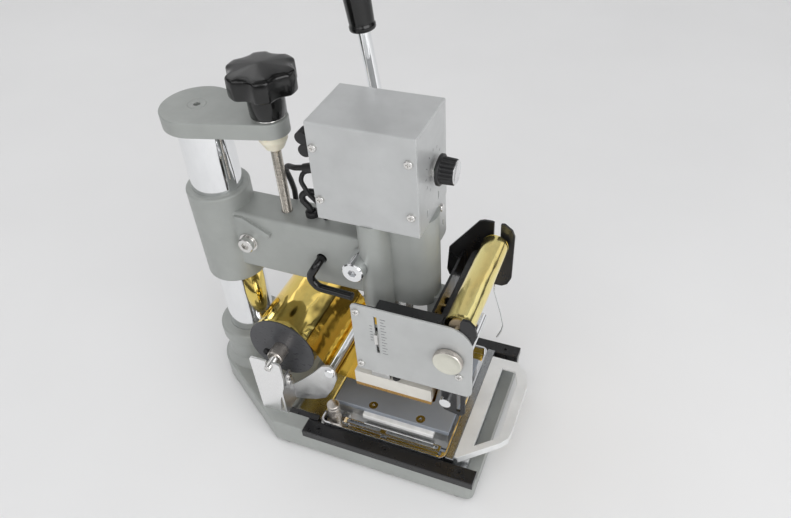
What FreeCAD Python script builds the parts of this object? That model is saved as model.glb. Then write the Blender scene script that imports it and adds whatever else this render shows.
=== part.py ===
import FreeCAD, Part
import math
import os

# Bench-top hot foil stamper: cast base, chrome column, height-adjustable arm, lever-driven
# heated head, foil unwind and feed rollers, and a drawer table with a card tray.
# Frame: origin on the bench under the column axis, +X towards the operator's end,
# +Y towards the lever side, +Z up. Millimetres.

# ---- driving dimensions ----
FOOT_H = 3.0

BASE_X0, BASE_X1 = 55.5, 234.7
BASE_HALF_W = 75.8
BASE_TOP = 26.4
TAIL_R = 33.0
SOCKET_R = 29.0
SOCKET_TOP = 67.0
CHANNEL_X0 = 84.0
CHANNEL_FLOOR = 15.0
POCKET_X0, POCKET_HALF_W = 64.0, 61.8

COLUMN_R = 20.0
COLUMN_Z0, COLUMN_Z1 = 12.0, 273.0
BRACKET_Z0, BRACKET_Z1 = 271.0, 283.0
BRACKET_R, BRACKET_TIP_R = 28.0, 13.5
SCREW_X, SCREW_R = 60.0, 4.0

RAIL_W = 13.7
RAIL_T = 7.3

BOSS_R = 25.3
BOSS_Z0, BOSS_Z1 = 130.6, 215.0
ARM_HALF_W = 16.0
ARM_Z0, ARM_Z1 = 147.0, 201.0
HOUSING_X0, HOUSING_XC = 137.0, 168.0
GUIDE_X, GUIDE_Y, GUIDE_Z0 = 141.0, 17.0, 144.3
GUIDE_R = 12.0
PILLAR_X, PILLAR_R = 144.0, 5.0

BOX_X0, BOX_X1 = 104.0, 180.3
BOX_HALF_W = 27.6
BOX_Z0, BOX_Z1 = 224.2, 300.7
SHEET = 1.5
POT_Y, POT_Z = 2.0, 261.5
SWITCH_Y, SWITCH_Z = -19.0, 281.0

SHAFT_X, SHAFT_Z, SHAFT_R = 130.0, 185.5, 6.0
LEVER_Y, LEVER_R = 54.0, 4.7
LEVER_LEAN = math.radians(7.1)
GEAR_MODULE, PINION_TEETH = 1.25, 20
PITCH_R = GEAR_MODULE * PINION_TEETH / 2
PRESSURE = math.radians(20)
BACKLASH = 0.15

HEAD_X0, HEAD_X1 = 126.0, 191.0
HEAD_HALF_W = 45.0
HEAD_Z0, HEAD_Z1 = 70.0, 87.0
RAM_X1, RAM_HALF_W = 158.0, 7.4

SPOOL_X, SPOOL_Z = 57.0, 85.7
FLANGE_R, FOIL_R, CORE_R = 30.0, 29.2, 14.5
FOIL_HALF_W = 40.8
GUIDE_ROD_X, GUIDE_ROD_Z, GUIDE_ROD_R = 103.0, 76.6, 4.5

FRAME_Y = 49.5
FRAME_T = 2.0
FEED_X, FEED_Z, FEED_R = 209.0, 141.0, 3.4
PINCH_X, PINCH_Z, PINCH_R = 202.6, 152.0, 9.0
TAKEUP_X, TAKEUP_Z, TAKEUP_R = 213.7, 168.5, 10.8
PLATE_X0, PLATE_X1 = 134.2, 226.0
PLATE_Z0, PLATE_Z1 = 103.4, 172.3
FRONT_ROD_X, FRONT_ROD_Z = 206.0, 91.6
WEB_T = 0.3

TABLE_X0, TABLE_X1 = 92.0, 214.2
TABLE_HALF_W = 64.2
TABLE_T = 4.0
TRAY_X0, TRAY_X1, TRAY_HALF_W = 96.0, 207.0, 62.4
TRAY_TOP = 29.5
ANVIL_X0, ANVIL_X1, ANVIL_HALF_W = 100.0, 204.0, 42.0
ANVIL_TOP = 35.0
HANDLE_Z = 30.0

RUN = 0.05  # radial running clearance

V = FreeCAD.Vector
SIDES = (-1, 1)


# ---- geometry helpers ----
def block(x0, x1, y0, y1, z0, z1):
    """A box between two opposite corners, whichever order they are given in."""
    low = V(min(x0, x1), min(y0, y1), min(z0, z1))
    return Part.makeBox(abs(x1 - x0), abs(y1 - y0), abs(z1 - z0), low)


def rod_x(r, y, z, x0, x1):
    return Part.makeCylinder(r, abs(x1 - x0), V(min(x0, x1), y, z), V(1, 0, 0))


def rod_y(r, x, z, y0, y1):
    return Part.makeCylinder(r, abs(y1 - y0), V(x, min(y0, y1), z), V(0, 1, 0))


def rod_z(r, x, y, z0, z1):
    return Part.makeCylinder(r, abs(z1 - z0), V(x, y, min(z0, z1)), V(0, 0, 1))


def join(first, *others):
    return first.multiFuse(list(others)).removeSplitter()


def cut(shape, *tools):
    for tool in tools:
        shape = shape.cut(tool)
    return shape


def prism_xy(points, z0, z1):
    face = Part.Face(Part.makePolygon([V(x, y, z0) for x, y in points + points[:1]]))
    return face.extrude(V(0, 0, z1 - z0))


def prism_xz(points, y0, y1):
    face = Part.Face(Part.makePolygon([V(x, y0, z) for x, z in points + points[:1]]))
    return face.extrude(V(0, y1 - y0, 0))


def revolve(profile, base, axis, radial):
    """Turn a closed (radius, height) profile about an axis through base."""
    points = [base + radial * r + axis * h for r, h in profile + profile[:1]]
    return Part.Face(Part.makePolygon(points)).revolve(base, axis, 360)


def round_edges(shape, radius, keep):
    """Fillet the edges for which keep(edge) is true."""
    return shape.makeFillet(radius, [e for e in shape.Edges if keep(e)])


def along(edge, direction):
    """True for a straight edge that runs along the direction."""
    if edge.Curve.TypeId != "Part::GeomLine":
        return False
    run = edge.Vertexes[1].Point - edge.Vertexes[0].Point
    return run.cross(direction).Length < 1e-6 * run.Length


def tube_path(points, r, bend):
    """A round cable in straight runs, joined at each inner point by a bend of at most the given radius."""
    path = [V(*p) for p in points]
    runs, start = [], path[0]
    for before, corner, after in zip(path, path[1:], path[2:]):
        inward, outward = (corner - before).normalize(), (after - corner).normalize()
        turn = inward.getAngle(outward)
        if turn < 0.01:
            continue
        slope = math.tan(turn / 2)
        radius = min(bend, 0.48 * min(corner.distanceToPoint(before), corner.distanceToPoint(after)) / slope)
        entry = corner - inward * (radius * slope)
        axis = inward.cross(outward).normalize()
        section = Part.Face(Part.Wire(Part.makeCircle(r, entry, inward)))
        runs.append(Part.makeCylinder(r, start.distanceToPoint(entry), start, inward))
        runs.append(section.revolve(entry + axis.cross(inward) * radius, axis, math.degrees(turn)))
        start = corner + outward * (radius * slope)
    end = path[-1]
    runs.append(Part.makeCylinder(r, start.distanceToPoint(end), start, end - start))
    return join(*runs)


def tangent_hull(x_far, r0, r1, z0, z1):
    """Teardrop plate: a disc of r0 at the origin joined by tangents to a disc of r1 at x_far."""
    angle = math.acos((r0 - r1) / x_far)
    c, s = math.cos(angle), math.sin(angle)
    web = [(r0 * c, -r0 * s), (x_far + r1 * c, -r1 * s), (x_far + r1 * c, r1 * s), (r0 * c, r0 * s)]
    return join(prism_xy(web, z0, z1), rod_z(r0, 0, 0, z0, z1), rod_z(r1, x_far, 0, z0, z1))


def screw_y(x, y, z, side, head_r, head_h, shank_r, length):
    """A screw along Y whose head stands off a face at y, on the given side."""
    head = rod_y(head_r, x, z, y, y + side * head_h)
    shank = rod_y(shank_r, x, z, y, y - side * length)
    return join(head, shank)


def screw_z(x, y, z, head_r, head_h, shank_r, length):
    """A screw pointing down whose head stands on a face at z."""
    return join(rod_z(head_r, x, y, z, z + head_h), rod_z(shank_r, x, y, z, z - length))


def save(name, *solids):
    """Write one node: a single solid, or a group of separate solids."""
    flat = [s for shape in solids for s in shape.Solids]
    for solid in flat:
        if not solid.isValid() or solid.Volume <= 0:
            raise ValueError("bad solid in " + name)
    shape = flat[0] if len(flat) == 1 else Part.makeCompound(flat)
    shape.exportStep("parts/" + name + ".step")
    print(name, len(flat), round(sum(s.Volume for s in flat)))


# ---- base ----
FEET = [(0.0, 0.0)] + [(x, y) for x in (66.0, 221.5) for y in (-66.5, 66.5)]
RAIL_SCREWS_X = (97.0, 158.0, 222.0)
RAIL_Y = BASE_HALF_W - RAIL_W / 2
BRACKET_SCREWS = [(50.0, side * y) for side in SIDES for y in (50.5, 57.5)]


def base_casting():
    far = math.hypot(BASE_X0, BASE_HALF_W)
    turn = math.atan2(BASE_HALF_W, BASE_X0) + math.acos(TAIL_R / far)
    tx, ty = TAIL_R * math.cos(turn), TAIL_R * math.sin(turn)
    flare = [(tx, -ty), (BASE_X0, -BASE_HALF_W), (BASE_X0 + 1, -BASE_HALF_W),
             (BASE_X0 + 1, BASE_HALF_W), (BASE_X0, BASE_HALF_W), (tx, ty)]
    bed = join(
        prism_xy(flare, FOOT_H, BASE_TOP),
        rod_z(TAIL_R, 0, 0, FOOT_H, BASE_TOP),
        block(BASE_X0, BASE_X1, -BASE_HALF_W, BASE_HALF_W, FOOT_H, BASE_TOP),
    )
    bed = round_edges(bed, 6, lambda e: along(e, V(0, 0, 1)) and e.CenterOfMass.x > 20)
    bed = round_edges(bed, 2, lambda e: abs(e.CenterOfMass.z - BASE_TOP) < 0.01)
    skirt = Part.makeCone(TAIL_R - 1.5, SOCKET_R - 2, 9, V(0, 0, BASE_TOP - 0.5), V(0, 0, 1))
    lower = rod_z(SOCKET_R - 2, 0, 0, BASE_TOP, SOCKET_TOP - 14)
    ring = rod_z(SOCKET_R, 0, 0, SOCKET_TOP - 14, SOCKET_TOP)
    ring = round_edges(ring, 2.5, lambda e: e.Closed)
    body = join(bed, skirt, lower, ring)
    inner = TABLE_HALF_W + 0.3
    body = cut(
        body,
        rod_z(COLUMN_R + RUN, 0, 0, COLUMN_Z0, SOCKET_TOP + 1),
        block(CHANNEL_X0, BASE_X1 + 1, -inner, inner, CHANNEL_FLOOR, BASE_TOP + 1),
        block(POCKET_X0, CHANNEL_X0 + 1, -POCKET_HALF_W, POCKET_HALF_W, CHANNEL_FLOOR, BASE_TOP + 1),
        block(66, 228, -52, -4, 0, 10),
        block(66, 228, 4, 52, 0, 10),
    )
    for side in SIDES:
        body = cut(body, block(CHANNEL_X0, BASE_X1 + 1, 0, side * (BASE_HALF_W + 1),
                               BASE_TOP - RAIL_T, BASE_TOP + 1))
        for x in RAIL_SCREWS_X:
            body = cut(body, rod_z(2.0 + RUN, x, side * RAIL_Y, BASE_TOP - RAIL_T - 8, BASE_TOP))
    for x, y in FEET:
        body = cut(body, rod_z(9 + RUN, x, y, FOOT_H, FOOT_H + 1), rod_z(2 + RUN, x, y, FOOT_H, FOOT_H + 7))
    for x, y in BRACKET_SCREWS:
        body = cut(body, rod_z(1.5 + RUN, x, y, BASE_TOP - 8, BASE_TOP + 1))
    return body


def rubber_feet():
    """Mushroom-shaped feet whose stems push into the casting."""
    feet = []
    for x, y in FEET:
        pad = Part.makeCone(8, 9, FOOT_H + 1, V(x, y, 0), V(0, 0, 1))
        feet.append(join(pad, rod_z(2, x, y, FOOT_H, FOOT_H + 6)))
    return feet


def guide_tongue(side):
    """Black strip that leads the narrow rear end of the table plate."""
    return block(POCKET_X0, TABLE_X0 - 0.5, side * 56, side * POCKET_HALF_W, CHANNEL_FLOOR, BASE_TOP - 0.5)


def rail(side):
    y0, y1 = side * (BASE_HALF_W - RAIL_W + 0.5), side * BASE_HALF_W
    bar = block(CHANNEL_X0, BASE_X1, y0, y1, BASE_TOP - RAIL_T, BASE_TOP)
    bar = bar.makeChamfer(0.6, [e for e in bar.Edges if e.CenterOfMass.z > BASE_TOP - 0.01])
    for x in RAIL_SCREWS_X:
        y = side * RAIL_Y
        sink = Part.makeCone(2 + RUN, 4.1, 2.1, V(x, y, BASE_TOP - 2.1), V(0, 0, 1))
        bar = cut(bar, rod_z(2 + RUN, x, y, 0, BASE_TOP), sink)
    return bar


def rail_screws():
    screws = []
    for side in SIDES:
        for x in RAIL_SCREWS_X:
            y = side * RAIL_Y
            head = Part.makeCone(2, 4, 2, V(x, y, BASE_TOP - 2.1), V(0, 0, 1))
            shank = rod_z(2, x, y, BASE_TOP - RAIL_T - 7, BASE_TOP - 2.1)
            socket = hex_z(x, y, 2.5, BASE_TOP - 1.5, BASE_TOP)
            screws.append(cut(join(head, shank), socket))
    return screws


def hex_z(x, y, flats, z0, z1):
    r = flats / math.sqrt(3)
    points = [(x + r * math.cos(math.radians(60 * i)), y + r * math.sin(math.radians(60 * i))) for i in range(6)]
    return prism_xy(points, z0, z1)


def hex_y(x, z, flats, y0, y1):
    r = flats / math.sqrt(3)
    points = [(x + r * math.cos(math.radians(60 * i)), z + r * math.sin(math.radians(60 * i))) for i in range(6)]
    return prism_xz(points, y0, y1)


def hex_x(y, z, flats, x0, x1):
    solid = hex_z(0, 0, flats, 0, x1 - x0)
    solid.rotate(V(0, 0, 0), V(0, 1, 0), 90)
    solid.translate(V(x0, y, z))
    return solid


def column():
    bar = rod_z(COLUMN_R, 0, 0, COLUMN_Z0, COLUMN_Z1)
    bar = bar.makeChamfer(1, [e for e in bar.Edges if e.Closed])
    return cut(bar, rod_z(4 + RUN, 0, 0, COLUMN_Z1 - 16, COLUMN_Z1 + 1))


def top_bracket():
    plate = tangent_hull(SCREW_X, BRACKET_R, BRACKET_TIP_R, BRACKET_Z0, BRACKET_Z1)
    plate = plate.makeFillet(1.2, [e for e in plate.Edges if abs(e.CenterOfMass.z - BRACKET_Z1) < 0.01])
    sink = Part.makeCone(4.1, 7.2, 3.1, V(0, 0, BRACKET_Z1 - 3.1), V(0, 0, 1))
    return cut(
        plate,
        rod_z(COLUMN_R + RUN, 0, 0, BRACKET_Z0 - 1, COLUMN_Z1),
        rod_z(4.1, 0, 0, BRACKET_Z0, BRACKET_Z1 + 1),
        sink,
        rod_z(7 + RUN, SCREW_X, 0, BRACKET_Z0 - 1, BRACKET_Z1 + 1),
    )


def bracket_screw():
    head = Part.makeCone(4, 7, 3, V(0, 0, BRACKET_Z1 - 3.1), V(0, 0, 1))
    shank = rod_z(4, 0, 0, COLUMN_Z1 - 15, BRACKET_Z1 - 3.1)
    return cut(join(head, shank), hex_z(0, 0, 5, BRACKET_Z1 - 2.4, BRACKET_Z1))


def screw_bush():
    r = SCREW_R + RUN
    profile = [(r, BRACKET_Z1), (7, BRACKET_Z1), (7, BRACKET_Z0), (10.5, BRACKET_Z0),
               (10.5, BRACKET_Z0 - 6), (7, BRACKET_Z0 - 13), (r, BRACKET_Z0 - 13)]
    return revolve(profile, V(SCREW_X, 0, 0), V(0, 0, 1), V(1, 0, 0))


def yz_plate(points, x0, x1):
    """A flat plate with a (y, z) outline between two x stations."""
    face = Part.Face(Part.makePolygon([V(x0, y, z) for y, z in points + points[:1]]))
    return face.extrude(V(x1 - x0, 0, 0))


WEB_SCREWS = [(50.6, 61.2), (51.6, 55.4)]


def unwind_bracket(side):
    """Folded steel bracket: slotted outer wing for the spool, a web, and an inner lobe for the guide rod."""
    outer = [(40, BASE_TOP), (38.5, 90.5), (67, 90.5), (67.5, 70), (66, 60), (59.5, 41), (58, BASE_TOP)]
    lobe = [(62, 28), (62, 44), (76.5, 58.5), (88, 71.5), (96, 82), (103, 84.5), (108, 81),
            (108.5, 70), (103, 55), (95, 41), (84, 34.5), (74, 31)]
    web = [(63.5, BASE_TOP), (63.5, 60), (56, 53), (55, 65.5), (46.5, 65.5), (45, 46), (45, BASE_TOP)]
    wing = prism_xz(outer, side * 61.5, side * 63.5)
    wing = round_edges(wing, 3, lambda e: along(e, V(0, 1, 0)) and e.CenterOfMass.z > 60)
    carrier = prism_xz(lobe, side * 45, side * 47)
    carrier = round_edges(carrier, 3.5, lambda e: along(e, V(0, 1, 0)) and e.CenterOfMass.x > 80)
    fold = yz_plate([(side * y, z) for y, z in web], 62, 64)
    foot = block(42, 63, side * 45, side * 63.5, BASE_TOP, BASE_TOP + 2)
    slot = join(rod_y(3.1, SPOOL_X, SPOOL_Z, side * 61, side * 64),
                block(SPOOL_X - 3.1, SPOOL_X + 3.1, side * 61, side * 64, SPOOL_Z, 95))
    body = cut(join(wing, carrier, fold, foot), slot,
               rod_y(GUIDE_ROD_R + RUN, GUIDE_ROD_X, GUIDE_ROD_Z, side * 44, side * 48))
    for x, y in BRACKET_SCREWS:
        body = cut(body, rod_z(1.5 + RUN, x, y, BASE_TOP - 1, BASE_TOP + 3))
    for y, z in WEB_SCREWS:
        body = cut(body, rod_x(1.2 + RUN, side * y, z, 61, 65))
    return body


def unwind_bracket_screws():
    screws = [screw_z(x, y, BASE_TOP + 2, 2.8, 1.8, 1.5, 9) for x, y in BRACKET_SCREWS]
    for side in SIDES:
        for y, z in WEB_SCREWS:
            head = rod_x(2.4, side * y, z, 64, 65.8)
            head = head.makeFillet(0.7, [e for e in head.Edges if e.Closed and e.CenterOfMass.x > 65])
            screws.append(join(head, rod_x(1.2, side * y, z, 59.5, 64)))
    return screws


def guide_rod():
    bar = rod_y(GUIDE_ROD_R, GUIDE_ROD_X, GUIDE_ROD_Z, -49, 49)
    return bar.makeChamfer(0.6, [e for e in bar.Edges if e.Closed])


# ---- height screw ----
def star_knob():
    """Six-lobed crown on a round hub."""
    z0 = BRACKET_Z1 + 1.6
    hub = Part.makeCone(13.0, 13.4, 20, V(SCREW_X, 0, z0), V(0, 0, 1))
    profile = [(0, 19), (23.5, 19), (25, 20.5), (25, 34.5), (24, 35.8), (17, 37.4), (9, 38.2), (0, 38.4)]
    crown = revolve(profile, V(SCREW_X, 0, z0), V(0, 0, 1), V(1, 0, 0))
    for i in range(6):
        a = math.radians(60 * i + 30)
        crown = cut(crown, rod_z(12, SCREW_X + 33.5 * math.cos(a), 33.5 * math.sin(a), z0, z0 + 40))
    return cut(join(hub, crown), rod_z(SCREW_R, SCREW_X, 0, z0 - 1, z0 + 26))


def knob_washer():
    ring = rod_z(12, SCREW_X, 0, BRACKET_Z1, BRACKET_Z1 + 1.6)
    return cut(ring, rod_z(SCREW_R + RUN, SCREW_X, 0, 0, 400))


def height_screw():
    bar = rod_z(SCREW_R, SCREW_X, 0, 158, BRACKET_Z1 + 26)
    return bar.makeChamfer(0.8, [e for e in bar.Edges if e.Closed])


# ---- arm ----
COTTER_X, COTTER_Z, COTTER_R = 29.5, 174.0, 10.0
PINION_CAVITY_R = PITCH_R + GEAR_MODULE + 0.6
RAM_TIP_X = SHAFT_X + PITCH_R - 0.95 * GEAR_MODULE
SPRING_Z0, SPRING_Z1 = 196.3, 219.5
SCREW_NEAR_X = (108.0, 175.0)
FRAME_SCREWS = [(y, z) for y in (-5.0, 5.0) for z in (126.0, 138.0)]
BOX_SCREWS_Y = (-10.0, 10.0)
LEAD_X, CABLE_X = 94.0, 82.0


def arm_casting():
    boss = rod_z(BOSS_R, 0, 0, BOSS_Z0, BOSS_Z1)
    boss = round_edges(boss, 2, lambda e: e.Closed)
    beam = block(0, HOUSING_XC, -ARM_HALF_W, ARM_HALF_W, ARM_Z0, ARM_Z1)
    beam = beam.makeFillet(3, [e for e in beam.Edges if along(e, V(1, 0, 0))])
    housing = join(block(HOUSING_X0, HOUSING_XC, -ARM_HALF_W, ARM_HALF_W, ARM_Z0, BOX_Z0),
                   rod_z(ARM_HALF_W, HOUSING_XC, 0, ARM_Z0, BOX_Z0))
    guides = [rod_z(GUIDE_R, GUIDE_X, side * GUIDE_Y, GUIDE_Z0, BOX_Z0) for side in SIDES]
    guides = [g.makeChamfer(1.2, [e for e in g.Edges if e.CenterOfMass.z < GUIDE_Z0 + 0.1]) for g in guides]
    rib = prism_xz([(22, 199), (29, 199), (52, 187), (50, 183.5), (36, 189)], -18.5, -14)
    nose = block(176, 186, -8, 8, 120, 152)
    body = join(boss, beam, housing, rib, nose, *guides)
    ram_slot = block(RAM_TIP_X - 0.4, RAM_X1 + RUN, -RAM_HALF_W - RUN, RAM_HALF_W + RUN, 110, BOX_Z0 + 1)
    gear_room = join(rod_y(PINION_CAVITY_R, SHAFT_X, SHAFT_Z, -6.6, 6.6),
                     block(SHAFT_X, RAM_TIP_X, -6.6, 6.6, SHAFT_Z - PINION_CAVITY_R, SHAFT_Z + PINION_CAVITY_R))
    body = cut(
        body,
        rod_z(COLUMN_R + RUN, 0, 0, BOSS_Z0 - 1, BOSS_Z1 + 1),
        ram_slot,
        gear_room,
        rod_y(8 + RUN, SHAFT_X, SHAFT_Z, -ARM_HALF_W - 0.1, ARM_HALF_W + 0.1),
        rod_y(8.6, SHAFT_X, SHAFT_Z, -40, -ARM_HALF_W),
        rod_y(6.4, SHAFT_X, SHAFT_Z, ARM_HALF_W, 40),
        rod_y(COTTER_R + RUN, COTTER_X, COTTER_Z, -4, 20),
        rod_y(4.3, COTTER_X, COTTER_Z, -20, 0),
        rod_z(SCREW_R + 0.5, SCREW_X, 0, ARM_Z0 - 1, ARM_Z1 + 1),
        rod_z(7 + RUN, SCREW_X, 0, ARM_Z0 - 1, 196),
        rod_z(2.8, LEAD_X, 0, 174, ARM_Z1 + 1),
        rod_z(3.4, CABLE_X, 0, 186, ARM_Z1 + 1),
        rod_y(4.2, LEAD_X, 174, -30, 0),
    )
    for side in SIDES:
        y = side * GUIDE_Y
        body = cut(body, rod_z(PILLAR_R + RUN, PILLAR_X, y, 100, BOX_Z0 + 1),
                   rod_z(7, PILLAR_X, y, SPRING_Z0 - 0.3, BOX_Z0 + 1))
    for y, z in FRAME_SCREWS:
        body = cut(body, rod_x(1.5 + RUN, y, z, 177, 187))
    for y in BOX_SCREWS_Y:
        body = cut(body, rod_z(2 + RUN, 166, y, BOX_Z0 - 8, BOX_Z0 + 1))
    return body


def clamp_cotter():
    plug = rod_y(COTTER_R, COTTER_X, COTTER_Z, -3.5, 14)
    return cut(plug, rod_z(COLUMN_R + 0.02, 0, 0, 100, 250), rod_y(4 + RUN, COTTER_X, COTTER_Z, -5, 12))


def clamp_bolt():
    head = rod_y(6.5, COTTER_X, COTTER_Z, -23, -17.5)
    head = head.makeChamfer(0.6, [e for e in head.Edges if e.Closed])
    shank = rod_y(4, COTTER_X, COTTER_Z, -17.6, 10)
    return cut(join(head, shank), hex_y(COTTER_X, COTTER_Z, 6, -24, -19.5))


def clamp_washer():
    return cut(rod_y(8, COTTER_X, COTTER_Z, -17.5, -16), rod_y(4 + RUN, COTTER_X, COTTER_Z, -30, 0))


def lift_nut():
    return cut(rod_z(7, SCREW_X, 0, 180, 196), rod_z(SCREW_R + RUN, SCREW_X, 0, 100, 300))


def shaft_bushes():
    bushes = []
    for side in SIDES:
        ring = rod_y(8, SHAFT_X, SHAFT_Z, side * 6.6, side * ARM_HALF_W)
        bushes.append(cut(ring, rod_y(SHAFT_R + RUN, SHAFT_X, SHAFT_Z, -40, 40)))
    return bushes


def return_springs():
    """Compression springs round the tops of the guide pillars, hidden in the guide bosses."""
    springs = []
    pitch, wire = 6.0, 0.6
    height = SPRING_Z1 - SPRING_Z0 - 2 * wire - 0.4
    for side in SIDES:
        helix = Part.makeHelix(pitch, height, 6.1)
        section = Part.Wire(Part.makeCircle(wire, V(6.1, 0, 0), V(0, 1, 0)))
        coil = Part.Wire(helix).makePipeShell([section], True, True)
        coil.translate(V(PILLAR_X, side * GUIDE_Y, SPRING_Z0 + wire + 0.2))
        springs.append(coil)
    return springs


CORD_Y, CORD_Z = 3.0, 247.5
LEAD_Y, LEAD_Z = 12.0, 234.0
TAB_SCREW = (14.0, 220.8)


def box_chassis():
    t, w = SHEET, BOX_HALF_W - SHEET - 0.1
    top = BOX_Z1 - SHEET - 0.1
    floor = block(BOX_X0, BOX_X1, -w, w, BOX_Z0, BOX_Z0 + t)
    rear = block(BOX_X0, BOX_X0 + t, -w, w, BOX_Z0, top)
    front = block(BOX_X1 - t, BOX_X1, -w, w, BOX_Z0, top)
    tab = block(BOX_X1 - t, BOX_X1, 12.2, w, 190, BOX_Z0)
    tab = tab.makeFillet(3, [e for e in tab.Edges if along(e, V(1, 0, 0)) and e.CenterOfMass.z < 195])
    flanges = []
    for side in SIDES:
        flanges.append(block(BOX_X0, BOX_X0 + 9, side * w, side * (w - 1.2), BOX_Z0, top))
        flanges.append(block(BOX_X1 - 9, BOX_X1, side * w, side * (w - 1.2), BOX_Z0, top))
    shell = join(floor, rear, front, tab, *flanges)
    shell = cut(
        shell,
        rod_x(3.5 + RUN, POT_Y, POT_Z, BOX_X1 - 5, BOX_X1 + 1),
        block(BOX_X0 - 1, BOX_X0 + 5, SWITCH_Y - 5.6, SWITCH_Y + 5.6, SWITCH_Z - 8.6, SWITCH_Z + 8.6),
        rod_x(4 + RUN, CORD_Y, CORD_Z, BOX_X0 - 1, BOX_X0 + 5),
        rod_x(2.4, LEAD_Y, LEAD_Z, BOX_X0 - 1, BOX_X0 + 5),
        rod_z(2.6 + RUN, 112, 8, BOX_Z0 - 1, BOX_Z0 + 5),
        rod_x(1.5 + RUN, *TAB_SCREW, BOX_X1 - 5, BOX_X1 + 1),
    )
    for x in SCREW_NEAR_X:
        for z in (241.0, 282.5):
            shell = cut(shell, rod_y(1.5 + RUN, x, z, -40, 40))
    for y, z in ((11.0, 234.0), (-11.0, 233.0), (19.0, 203.3)):
        shell = cut(shell, block(BOX_X1 - 5, BOX_X1 + 1, y - 1, y + 1, z - 3.2, z + 3.2))
    for y in BOX_SCREWS_Y:
        shell = cut(shell, rod_z(2 + RUN, 166, y, BOX_Z0 - 1, BOX_Z0 + 5))
    return shell


def box_cover():
    t = SHEET
    shell = block(BOX_X0, BOX_X1, -BOX_HALF_W, BOX_HALF_W, BOX_Z0, BOX_Z1)
    shell = shell.makeFillet(1.2, [e for e in shell.Edges
                                   if along(e, V(1, 0, 0)) and e.CenterOfMass.z > BOX_Z1 - 1])
    shell = cut(shell, block(BOX_X0 - 1, BOX_X1 + 1, t - BOX_HALF_W, BOX_HALF_W - t, BOX_Z0 - 1, BOX_Z1 - t))
    for x in SCREW_NEAR_X:
        for z in (241.0, 282.5):
            shell = cut(shell, rod_y(1.5 + RUN, x, z, -40, 40))
    return shell


def cover_screws():
    screws = []
    for side in SIDES:
        for x in SCREW_NEAR_X:
            for z in (241.0, 282.5):
                screws.append(pan_screw(x, side * BOX_HALF_W, z, side, 3.0, 2.0, 1.5, 3.0))
    return screws


def pan_screw(x, y, z, side, head_r, head_h, shank_r, length):
    """Cross-recessed pan-head screw along Y."""
    screw = screw_y(x, y, z, side, head_r, head_h, shank_r, length)
    screw = screw.makeFillet(0.7 * head_h / 2, [e for e in screw.Edges if e.Closed
                             and abs(e.CenterOfMass.y - (y + side * head_h)) < 0.01])
    deep, reach = side * head_h / 2, 0.55 * head_r
    for dx, dz in ((reach, 0.35), (0.35, reach)):
        screw = cut(screw, block(x - dx, x + dx, y + side * (head_h + 1), y + deep, z - dz, z + dz))
    return screw


def potentiometer():
    back = BOX_X1 - SHEET
    body = rod_x(8, POT_Y, POT_Z, back - 9, back)
    bush = rod_x(3.5, POT_Y, POT_Z, back, BOX_X1 + 3.5)
    terminals = [block(back - 6, back - 4.5, POT_Y + i * 5 - 1, POT_Y + i * 5 + 1, POT_Z - 14, POT_Z - 4)
                 for i in (-1, 0, 1)]
    return cut(join(body, bush, *terminals), rod_x(3 + RUN, POT_Y, POT_Z, back - 3, back + 10))


def pot_nut():
    ring = hex_x(POT_Y, POT_Z, 11, BOX_X1, BOX_X1 + 2.2)
    return cut(ring, rod_x(3.5, POT_Y, POT_Z, 170, 195))


def switch_housing():
    """Shallow bezel and a barrel inside the box, bored for the rocker's pivot pin."""
    y, z = SWITCH_Y, SWITCH_Z
    bezel = block(BOX_X0 - 0.8, BOX_X0, y - 7, y + 7, z - 10.5, z + 10.5)
    barrel = block(BOX_X0, BOX_X0 + 14, y - 5.5, y + 5.5, z - 8.5, z + 8.5)
    room = block(BOX_X0 - 3, BOX_X0 + 9, y - 4.5, y + 4.5, z - 7.6, z + 7.6)
    return cut(join(bezel, barrel), room, rod_y(1.2 + RUN, ROCKER_X, z, y - 6, y + 6))


def cord_gland():
    flange = rod_x(6.5, CORD_Y, CORD_Z, BOX_X0 - 3, BOX_X0)
    flange = flange.makeFillet(1.2, [e for e in flange.Edges if e.Closed and e.CenterOfMass.x < BOX_X0 - 2])
    boot = Part.makeCone(3.1, 4.6, 23, V(BOX_X0 - 25, CORD_Y, CORD_Z - 6), V(22, 0, 6))
    barrel = rod_x(4, CORD_Y, CORD_Z, BOX_X0, BOX_X0 + 5)
    return join(flange, boot, barrel)


def mains_cord():
    """Cord from the gland, behind the lift screw and down the far side of the arm."""
    x = BOX_X0 - 24
    return tube_path([(x, CORD_Y, CORD_Z - 5.8), (70, 5, CORD_Z - 9), (60, 10.5, CORD_Z - 12.5),
                      (56, 14, CORD_Z - 20), (56, 18, 216), (55, 22, 204), (54, 22.5, 178)], 2.2, 12)


def heater_cable():
    """Cable that leaves the arm through a grommet, loops back and enters the box floor."""
    return tube_path([(CABLE_X, 0, 188), (CABLE_X, 0, 203), (80.5, -0.5, 209), (76, -0.5, 213.5), (75, 0, 218),
                      (80, 2, 221.4), (92, 5, 219.6), (104, 7.5, 216), (111, 8, 218.5), (112, 8, 224),
                      (112, 8, 229)], 2.5, 6)


def cable_grommet():
    ring = rod_z(5.2, CABLE_X, 0, ARM_Z1, ARM_Z1 + 4.5)
    ring = ring.makeFillet(1.4, [e for e in ring.Edges if e.Closed and e.CenterOfMass.z > ARM_Z1 + 4])
    return cut(ring, rod_z(2.9, CABLE_X, 0, ARM_Z1 - 1, ARM_Z1 + 6))


def sensor_lead():
    """Thin lead from the rear of the box, round behind the cord and down into the arm."""
    return tube_path([(108, LEAD_Y, LEAD_Z), (100, LEAD_Y, LEAD_Z), (88, 10, 237), (76, 6, 235.5), (75, 2, 230),
                      (82, -1, 221.5), (90, -0.5, 213), (LEAD_X, 0, 206), (LEAD_X, 0, 181)], 1.8, 6)


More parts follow.
